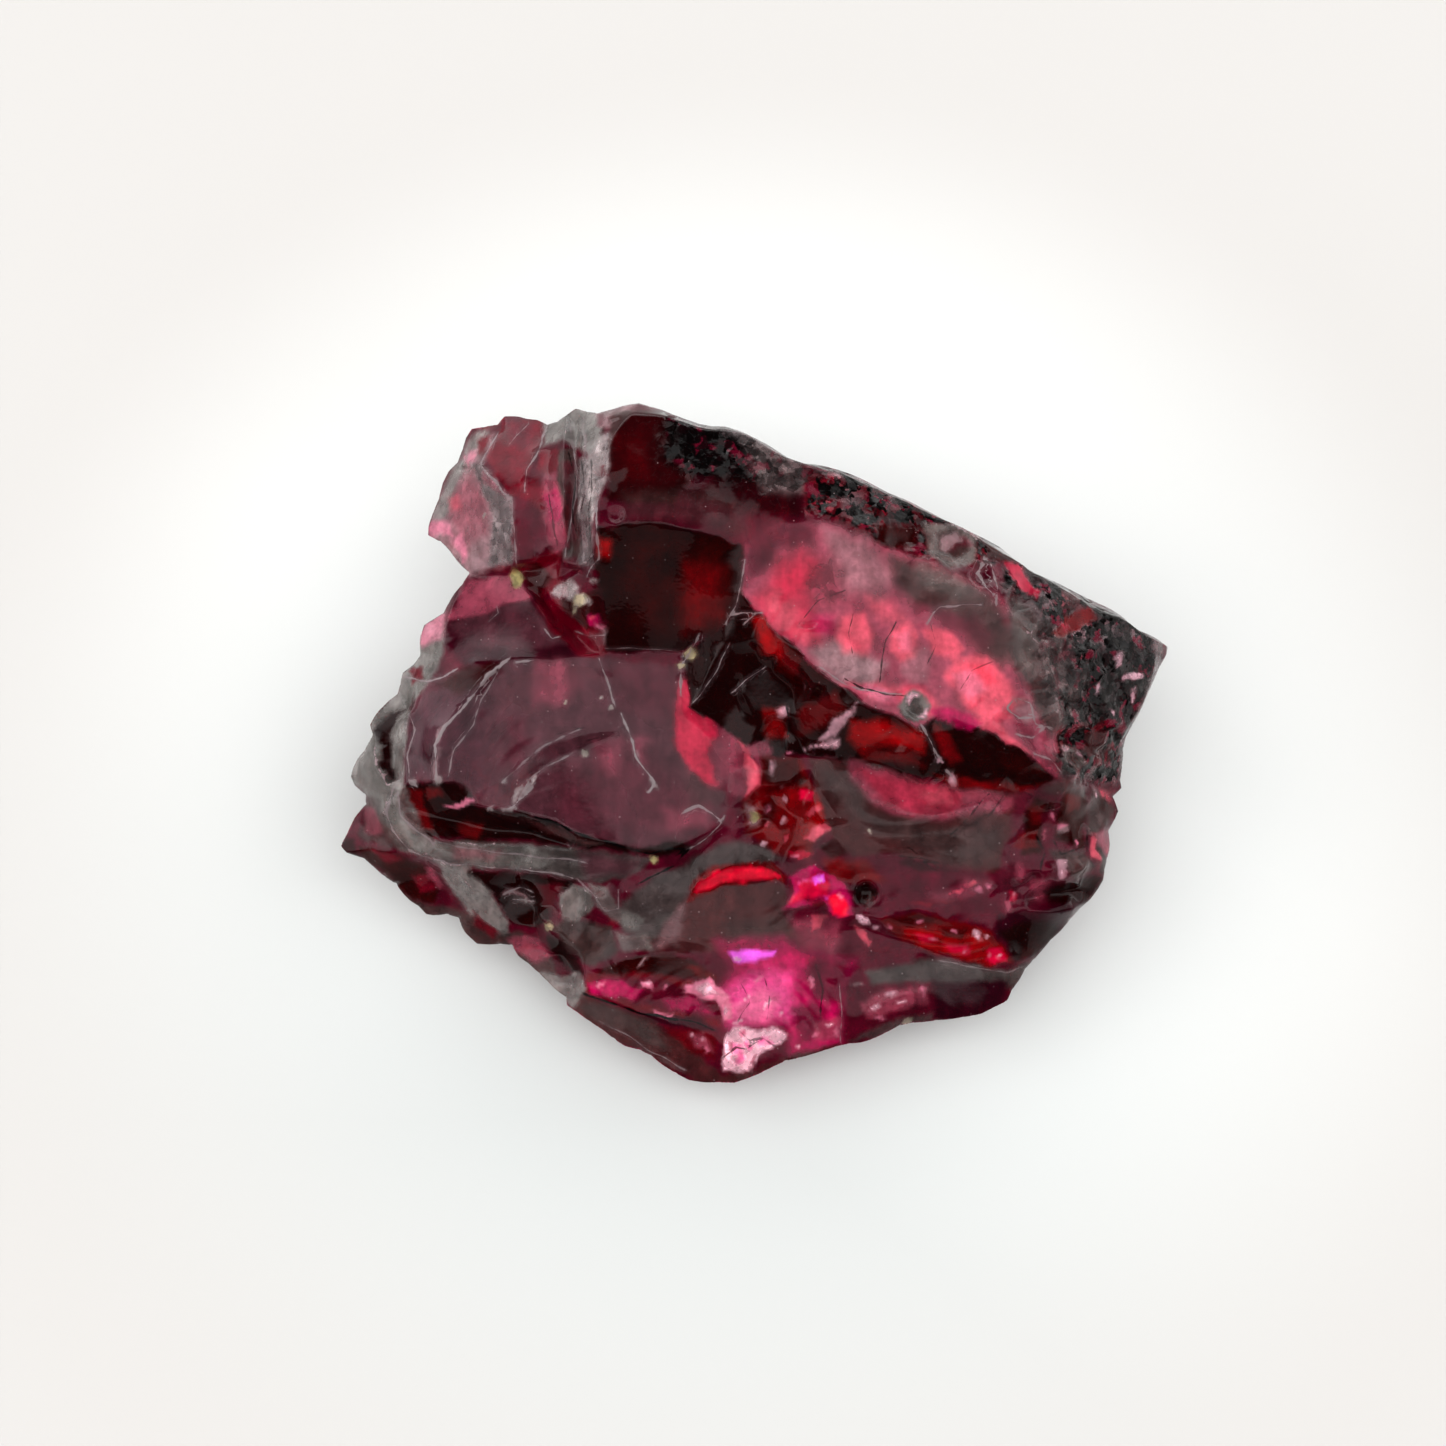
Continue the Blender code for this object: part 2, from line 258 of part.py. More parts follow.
# The underside. Its foot is the flat face that the crystal rests on. The stone overhangs it at the back
# right, and the clear lobe at the front is a thin lip.
FOOT = [
    (-7.6, -0.4), (-6.8, -3.4), (-4.2, -4.9), (-0.6, -5.5), (3.0, -5.2), (6.2, -4.2), (7.2, -2.8),
    (5.6, -1.7),
    (3.0, -1.0), (0.8, 0.2), (-1.2, 1.9), (-3.6, 2.6), (-6.6, 2.0),
]
UNDER_RIDGES = {
    # the overhang at the back right
    "overhang": [(8.2, -2.0, 3.0), (6.2, -1.1, 3.6), (4.6, -0.4, 3.9), (2.9, 0.6, 4.1), (1.4, 1.9, 4.3),
                 (0.2, 3.4, 4.5), (-0.8, 4.8, 4.8)],
    "overhang_end": [(7.2, -2.8, 0.0), (8.2, -2.0, 3.0), (10.3, -1.55, 3.9)],
    "overhang_fold_1": [(5.6, -1.7, 0.0), (6.2, -1.1, 3.6)],
    "overhang_fold_2": [(3.0, -1.0, 0.0), (2.9, 0.6, 4.1)],
    "overhang_fold_3": [(0.8, 0.2, 0.0), (1.4, 1.9, 4.3)],
    "ceiling_low": [(6.2, -1.1, 3.6), (8.9, 0.2, 2.0), (10.3, 1.6, 2.9), (11.8, 2.7, 5.2)],
    "ceiling_high": [(1.4, 1.9, 4.3), (3.6, 3.2, 5.2), (5.4, 4.6, 6.0), (7.0, 5.55, 7.1)],
    "ceiling_cross": [(3.6, 3.2, 5.2), (6.2, 2.2, 4.7), (7.4, 1.4, 3.8), (8.9, 0.2, 2.0)],
    "ceiling_far": [(6.2, 2.2, 4.7), (8.2, 3.4, 4.9), (9.5, 4.15, 6.2)],
    # the back wall
    "back_right": [(-0.8, 4.8, 4.8), (0.4, 6.6, 6.0), (1.8, 7.95, 8.5)],
    "back": [(-1.2, 1.9, 0.0), (-1.4, 4.0, 2.4), (-1.8, 6.6, 4.6), (-2.0, 9.25, 9.0)],
    "back_step": [(-5.4, 6.0, 3.6), (-3.6, 6.6, 4.4), (-1.8, 6.6, 4.6), (0.4, 6.6, 6.0)],
    "back_left": [(-3.6, 2.6, 0.0), (-4.4, 4.4, 1.8), (-5.4, 6.0, 3.6), (-6.0, 9.2, 7.1)],
    "under_knob": [(-5.4, 6.0, 3.6), (-7.4, 6.2, 4.0), (-9.45, 6.75, 4.7)],
    "under_notch": [(-6.6, 2.0, 0.0), (-7.0, 4.0, 2.6), (-8.3, 4.9, 5.6)],
    # left and front walls
    "left_back": [(-6.6, 2.0, 0.0), (-8.2, 2.2, 2.2), (-9.9, 2.6, 4.9)],
    "left": [(-7.6, -0.4, 0.0), (-9.4, -0.4, 1.9), (-11.1, 0.2, 4.0)],
    "left_front": [(-6.8, -3.4, 0.0), (-9.0, -3.4, 1.2), (-11.9, -2.95, 2.8)],
    "front_left": [(-4.2, -4.9, 0.0), (-5.0, -5.8, 1.1), (-6.8, -6.2, 2.3)],
    # the lips at the front and the front right
    "lip": [(-5.0, -5.8, 1.1), (-3.0, -6.1, 1.5), (-0.6, -6.2, 1.8), (1.6, -6.1, 1.8), (3.4, -5.8, 1.8),
            (5.4, -5.3, 1.9), (6.9, -4.8, 1.9), (8.0, -3.7, 1.7), (8.2, -2.0, 3.0)],
    "lip_fold_1": [(-0.6, -5.5, 0.0), (-0.6, -6.2, 1.8), (-0.6, -9.7, 2.0)],
    "lip_fold_2": [(3.0, -5.2, 0.0), (3.4, -5.8, 1.8), (4.1, -8.15, 2.3)],
    "lip_fold_3": [(6.2, -4.2, 0.0), (6.9, -4.8, 1.9), (7.2, -7.4, 2.4)],
    "right": [(8.0, -3.7, 1.7), (10.0, -4.0, 3.2)],
}
UNDER_DISHES = [(4.6, 2.6, 2.2, 0.15), (-3.2, 5.0, 2.0, 0.2), (-8.6, -2.0, 2.0, 0.2), (0.4, -7.6, 1.8, -0.1)]
UNDER_CRUSTS = [
    (0.0, 0.0, 14.0, 0.50, 3.1), (0.0, 0.0, 14.0, 0.16, 1.3), (-3.0, 7.0, 3.4, 0.40, 2.2),
    (3.6, 4.6, 4.0, 0.25, 2.4),
    (9.0, 1.4, 3.0, 0.35, 2.0), (-9.4, -1.6, 2.8, 0.25, 2.0), (1.0, -7.6, 3.6, 0.15, 1.8),
]


def placed(across, up, height):
    """The point of the crystal, in metres, that is drawn here and lies at this height."""
    back = (up - (height - MIDDLE_HEIGHT) * math.cos(LEAN)) / math.sin(LEAN)
    return Vector((across, back, height)) * MM


def resampled(points, step):
    """The line through these points, with its corners kept and a point at least every step."""
    line = [Vector(points[0])]
    for start, end in zip(points, points[1:]):
        start, end = Vector(start), Vector(end)
        pieces = max(1, round((end - start).xy.length / step))
        line += [start.lerp(end, piece / pieces) for piece in range(1, pieces + 1)]
    return line


def ragged(point):
    """The point moved a little, by an amount that changes smoothly over the stone."""
    return point + noise.noise_vector(point / RAGGED_LENGTH) * RAGGED


def nearest(point, line):
    """The point of the line that is closest on the drawing."""
    return min(line, key=lambda other: (other - point).xy.length)


def joined(line, drawn):
    """The line with each end moved onto a point of the lines drawn before it, if one is near."""
    for end in (0, -1):
        close = nearest(line[end], drawn)
        if (close - line[end]).xy.length < JUNCTION_REACH:
            line[end] = close
    return line


def filling(step, outline, held, rng):
    """Loose points inside the outline, on a shaken triangular grid, clear of the points that are held."""
    held = np.array([point.xy for point in held])
    corners = np.array([point.xy for point in outline])
    low, high = corners.min(axis=0), corners.max(axis=0)
    points = []
    for row, up in enumerate(np.arange(low[1], high[1], step * math.sqrt(3) / 2)):
        for across in np.arange(low[0] + step / 2 * (row % 2), high[0], step):
            point = np.array((across, up)) + rng.uniform(-SHAKE, SHAKE, 2) * step
            if inside(point, corners) and np.hypot(*(held - point).T).min() > CLEARANCE * step:
                points.append(Vector((*point, 0.0)))
    return points


def inside(point, corners):
    """Whether a point of the drawing lies inside a closed outline."""
    start, end = corners, np.roll(corners, -1, axis=0)
    spans = (start[:, 1] > point[1]) != (end[:, 1] > point[1])
    start, end = start[spans], end[spans]
    crossing = start[:, 0] + (point[1] - start[:, 1]) / (end[:, 1] - start[:, 1]) * (end[:, 0] - start[:, 0])
    return np.count_nonzero(crossing > point[0]) % 2 == 1


def skin_heights(points, triangles, held, dishes):
    """The height of each point of a skin that is held at some points and hangs between them."""
    count = len(points)
    pull = np.zeros((count, count))
    load = np.zeros(count)
    for triangle in triangles:
        for turn in range(3):
            corner, first, second = (triangle[(turn + step) % 3] for step in range(3))
            to_first, to_second = points[first] - points[corner], points[second] - points[corner]
            twice_area = abs(to_first[0] * to_second[1] - to_first[1] * to_second[0])
            weight = (to_first @ to_second) / max(twice_area, MERGE**2) / 2
            pull[first, second] -= weight
            pull[second, first] -= weight
            pull[first, first] += weight
            pull[second, second] += weight
            load[corner] += twice_area / 6
    sag = np.zeros(count)
    for across, up, radius, depth in dishes:
        share = 1 - np.hypot(points[:, 0] - across, points[:, 1] - up) ** 2 / radius**2
        sag += 6 * depth / radius**2 * np.clip(share, 0, None)
    heights = np.zeros(count)
    fixed = np.array(sorted(held))
    heights[fixed] = [held[index] for index in fixed]
    free = np.setdiff1d(np.arange(count), fixed)
    right_side = -(load * sag)[free] - pull[np.ix_(free, fixed)] @ heights[fixed]
    heights[free] = np.linalg.solve(pull[np.ix_(free, free)], right_side)
    return heights


def crust_height(point, across, up, crusts):
    """How far the small faces of the broken crust stand out at a point. Each face is tilted its own way."""
    height = 0.0
    for middle_across, middle_up, radius, depth, length in crusts:
        share = 1 - ((across - middle_across) ** 2 + (up - middle_up) ** 2) / radius**2
        if share > 0:
            middle = noise.voronoi(point / length)[1][0]
            tilt = noise.cell_vector(middle * TILT_SCATTER) * 2 - Vector((1, 1, 1))
            height += depth * math.sqrt(share) * (point / length - middle).dot(tilt)
    return height


def split_rim_chords(points, triangles, rim_indices, known):
    """The triangles, with a lower point in the middle of each inner edge that joins two rim points."""
    edges = [
        frozenset((triangle[turn], triangle[(turn + 1) % 3]))
        for triangle in triangles
        for turn in range(3)
    ]
    chords = {edge for edge in edges if rim_indices.issuperset(edge) and edges.count(edge) == 2}
    for chord in sorted(chords, key=sorted):
        middle = len(points)
        points.append(tuple(np.mean([points[index] for index in chord], axis=0)))
        known[middle] = min(known[index] for index in chord) - LEAST_DEPTH
        for triangle in [triangle for triangle in triangles if chord.issubset(triangle)]:
            triangles.remove(triangle)
            triangles += [
                tuple(middle if index == corner else index for index in triangle)
                for corner in sorted(chord)
            ]
    return triangles


def sheet(rim, ridges, step, dishes, foot=None):
    """The points and triangles of one sheet, from its rim, its ridges and its loose points."""
    lines = [list(rim)]
    if foot:
        lines.append(foot + foot[:1])
    for ridge in ridges.values():
        drawn = [point for line in lines for point in line]
        line = [ragged(point) for point in resampled(ridge, step)]
        lines.append(joined(line, drawn))
    held, index_of = [], {}
    for line in lines:
        for point in line:
            if tuple(point) not in index_of:
                index_of[tuple(point)] = len(held)
                held.append(point)
    edges = [
        (index_of[tuple(start)], index_of[tuple(end)])
        for line in lines
        for start, end in zip(line, line[1:])
    ]
    edges.append((len(rim) - 1, 0))
    loose = filling(step, rim, held, np.random.default_rng(SEED))
    drawing = [point.xy for point in held + loose]
    flat, _, faces, sources, _, _ = delaunay_2d_cdt(drawing, edges, [], 1, MERGE)
    points = [tuple(point) for point in flat]
    known = {
        index: held[min(origins)].z
        for index, origins in enumerate(sources)
        if origins and min(origins) < len(held)
    }
    rim_indices = {
        index for index, origins in enumerate(sources) if origins and min(origins) < len(rim)
    }
    if foot:
        faces = split_rim_chords(points, [tuple(face) for face in faces], rim_indices, known)
    points = np.array(points)
    if foot:
        corners = np.array([point.xy for point in foot])
        known.update({i: 0.0 for i, point in enumerate(points) if inside(point, corners)})
    heights = skin_heights(points, faces, known, dishes)
    order = {min(origins): index for index, origins in enumerate(sources) if origins}
    return points, heights, faces, [order[index] for index in range(len(rim))]


def crystal_mesh():
    """The two sheets, sewn together at the rim, with their crust."""
    noise.seed_set(RAGGED_SEED)
    rim = [ragged(point) for point in resampled(RIM + RIM[:1], RIM_STEP)[:-1]]
    foot = resampled([(across, up, 0.0) for across, up in FOOT + FOOT[:1]], UNDER_STEP)[:-1]
    vertices, faces, drawn = [], [], []
    rim_vertices = []
    for ridges, step, dishes, crusts, rest in (
        (TOP_RIDGES, TOP_STEP, TOP_DISHES, TOP_CRUSTS, None),
        (UNDER_RIDGES, UNDER_STEP, UNDER_DISHES, UNDER_CRUSTS, foot),
    ):
        points, heights, triangles, rim_order = sheet(rim, ridges, step, dishes, rest)
        new_index = dict(zip(rim_order, rim_vertices))
        for index, (point, height) in enumerate(zip(points, heights)):
            if index not in new_index:
                new_index[index] = len(vertices)
                vertices.append(placed(*point, height))
                drawn.append((point, crusts))
        rim_vertices = [new_index[index] for index in rim_order]
        for triangle in triangles:
            corners = [new_index[index] for index in triangle]
            faces.append(corners[::-1] if rest else corners)
    mesh = bpy.data.meshes.new("crystal")
    mesh.from_pydata(vertices, [], faces)
    mesh.validate()
    roughen(mesh, drawn, np.array([point.xy for point in rim]))
    centre(mesh)
    return mesh


def roughen(mesh, drawn, rim_points):
    """Moves each point in or out by the crust there. The rim and the foot stay where they are."""
    moved = []
    for vertex, (point, crusts) in zip(mesh.vertices, drawn):
        calm = min(1.0, np.hypot(*(rim_points - point).T).min() / RIM_CALM)
        out = crust_height(vertex.co / MM, *point, crusts) * calm * MM
        place = vertex.co + vertex.normal * out
        if vertex.co.z < LEAST_LIFT * MM:
            place = vertex.co.copy()
        place.z = max(place.z, min(vertex.co.z, LEAST_LIFT * MM))
        moved.append(place)
    for vertex, place in zip(mesh.vertices, moved):
        vertex.co = place


def centre(mesh):
    """Moves the crystal sideways until the origin is under the middle of its box."""
    places = np.array([vertex.co for vertex in mesh.vertices])
    middle = (places.min(axis=0) + places.max(axis=0)) / 2
    for vertex in mesh.vertices:
        vertex.co -= Vector((middle[0], middle[1], 0.0))


def crystal_material():
    """Deep red, clear, with the sheen of broken glass."""
    material = bpy.data.materials.new("crystal")
    material.use_nodes = True
    surface = material.node_tree.nodes["Principled BSDF"]
    surface.inputs["Base Color"].default_value = (0.32, 0.01, 0.05, 1.0)
    surface.inputs["Roughness"].default_value = 0.12
    surface.inputs["IOR"].default_value = 1.8
    surface.inputs["Transmission Weight"].default_value = 0.6
    return material


def main():
    for thing in list(bpy.data.objects):
        bpy.data.objects.remove(thing)
    mesh = crystal_mesh()
    crystal = bpy.data.objects.new("crystal", mesh)
    bpy.context.scene.collection.objects.link(crystal)
    mesh.materials.append(crystal_material())


main()
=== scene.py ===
"""The look of a broken painite crystal: a clear wine-red stone that glows red and magenta where light
comes through it, grey where its smooth faces mirror the light above, and black and pitted on its crust.
Much of that glow, of the grey reflections and of the shade on its steep faces is painted into its
colour.

Lengths in the tables are millimetres. Places on the upper side are given as across and up, on a plane
that leans back by LEAN, so that a steep face which looks forward still has width on it.
"""

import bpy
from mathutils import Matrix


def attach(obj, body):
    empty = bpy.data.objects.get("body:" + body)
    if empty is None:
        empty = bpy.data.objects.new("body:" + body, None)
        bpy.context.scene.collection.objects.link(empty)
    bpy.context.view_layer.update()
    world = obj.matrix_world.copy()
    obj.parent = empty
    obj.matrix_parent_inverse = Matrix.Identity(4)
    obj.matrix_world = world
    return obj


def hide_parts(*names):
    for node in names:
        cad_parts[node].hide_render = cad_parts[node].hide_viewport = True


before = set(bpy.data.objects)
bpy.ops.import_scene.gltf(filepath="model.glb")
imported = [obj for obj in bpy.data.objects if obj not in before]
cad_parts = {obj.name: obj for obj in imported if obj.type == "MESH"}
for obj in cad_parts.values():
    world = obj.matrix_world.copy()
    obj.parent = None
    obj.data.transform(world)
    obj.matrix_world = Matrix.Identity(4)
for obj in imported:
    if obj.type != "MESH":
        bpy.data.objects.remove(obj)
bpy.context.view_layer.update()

import math

import bpy
import numpy as np
from mathutils import Vector, noise

MM = 0.001
LEAN = math.radians(70.0)
MIDDLE_HEIGHT = 5.0  # a point at this height has its own depth as its up
ACROSS_SHIFT, BACK_SHIFT = 0.047, -0.105  # from the drawing to the stone's own origin
OUT_OF_THE_PLANE = np.array((0.0, -math.cos(LEAN), math.sin(LEAN)))
FINE_CUTS, COARSE_CUTS = 3, 2  # how finely the faces of the upper side and of the underside are divided
RIDGE_ANGLE = math.radians(27)  # edges sharper than this stay ridges
SMOOTH_ANGLE = math.radians(32)  # faces that meet more gently than this look like one

# The finishes of the stone: body colour, roughness, grain, and how pale its sharp edges are, which is
# partly wear and partly a painted highlight. The body colours hold painted light as well as the stone's
# own colour: scarlet, crimson, ember, coral, hot, flame, rose, magenta and orchid are a painted glow of
# light coming through the stone, and blush, pearl and violet are painted highlights. The greys smoke,
# pane, glass, frost, mist and haze are painted reflections of the light above, frost also partly a real
# frosting. Where dark and blood cover the window, the cliff, the trough and hollows they are painted
# shade.
FINISHES = {
    "wine": ((0.13, 0.044, 0.06), 0.05, 0.03, 0.5),
    "dusk": ((0.095, 0.025, 0.042), 0.05, 0.03, 0.5),
    "plum": ((0.122, 0.0012, 0.021), 0.08, 0.09, 0.2),
    "night": ((0.045, 0.0005, 0.01), 0.08, 0.06, 0.3),
    "blood": ((0.042, 0.0002, 0.0004), 0.05, 0.08, 0.1),
    "dark": ((0.02, 0.0001, 0.0003), 0.05, 0.08, 0.1),
    "crimson": ((0.195, 0.0003, 0.004), 0.05, 0.08, 0.1),
    "scarlet": ((0.42, 0.0004, 0.005), 0.05, 0.06, 0.1),
    "ember": ((0.58, 0.036, 0.094), 0.08, 0.04, 0.2),
    "coral": ((0.85, 0.145, 0.215), 0.12, 0.08, 0.2),
    "garnet": ((0.135, 0.013, 0.034), 0.06, 0.09, 0.15),
    "rose": ((0.41, 0.092, 0.145), 0.20, 0.09, 0.3),
    "blush": ((0.84, 0.28, 0.41), 0.22, 0.16, 0.4),
    "pearl": ((1.0, 0.62, 0.72), 0.30, 0.24, 0.6),
    "hot": ((0.75, 0.003, 0.075), 0.08, 0.06, 0.2),
    "flame": ((1.0, 0.006, 0.062), 0.08, 0.06, 0.2),
    "claret": ((0.19, 0.0004, 0.018), 0.06, 0.08, 0.2),
    "magenta": ((0.58, 0.006, 0.135), 0.10, 0.13, 0.2),
    "orchid": ((1.0, 0.13, 0.42), 0.12, 0.15, 0.3),
    "violet": ((1.0, 0.18, 0.97), 0.08, 0.05, 0.2),
    "soot": ((0.001, 0.0003, 0.0004), 0.10, 0.70, 0.2),
    "crust": ((0.145, 0.1, 0.108), 0.25, 0.85, 0.4),
    "clot": ((0.135, 0.004, 0.014), 0.15, 0.75, 0.4),
    "ash": ((0.15, 0.12, 0.12), 0.28, 0.60, 0.6),
    "smoke_sheen": ((0.1, 0.081, 0.078), 0.12, 0.15, 0.6),
    "slate": ((0.098, 0.026, 0.028), 0.07, 0.1, 0.3),
    "pane_sheen": ((0.225, 0.205, 0.195), 0.12, 0.12, 0.9),
    "glass_sheen": ((0.30, 0.28, 0.27), 0.12, 0.14, 0.7),
    "chalk": ((0.52, 0.46, 0.46), 0.30, 0.30, 0.5),
    "frost_and_sheen": ((0.235, 0.2, 0.205), 0.30, 0.40, 0.8),
    "mist_sheen": ((0.4, 0.26, 0.28), 0.25, 0.16, 0.5),
    "haze_sheen": ((0.09, 0.054, 0.052), 0.20, 0.18, 0.4),
}

# The same as one row of numbers.
COLOUR, ROUGH, GRAIN, EDGE = slice(0, 3), 3, 4, 5

# Outlines of the square dark window and of the dark cliff on its right; both are painted dark, as
# painted shade.
WINDOW = [
    (-4.45, 5.95), (-3.0, 6.1), (-1.0, 5.7), (-0.4, 5.4), (-0.35, 4.0), (-0.8, 3.3),
    (-2.1, 2.6), (-4.3, 2.55), (-4.2, 3.3), (-4.5, 4.9),
]
CLIFF = [
    (-0.8, 3.3), (-0.35, 4.0), (0.6, 3.0), (1.7, 2.0), (2.9, 1.1), (3.6, 0.8),
    (4.4, 0.35), (5.0, 0.75), (6.1, 0.4), (7.2, -0.1), (8.3, -1.0), (7.8, -1.3),
    (6.0, -1.3), (4.0, -0.85), (2.0, -0.4), (0.8, -0.4), (-0.1, -0.4), (-0.9, 0.4),
    (-1.85, 1.0), (-2.1, 2.5),
]
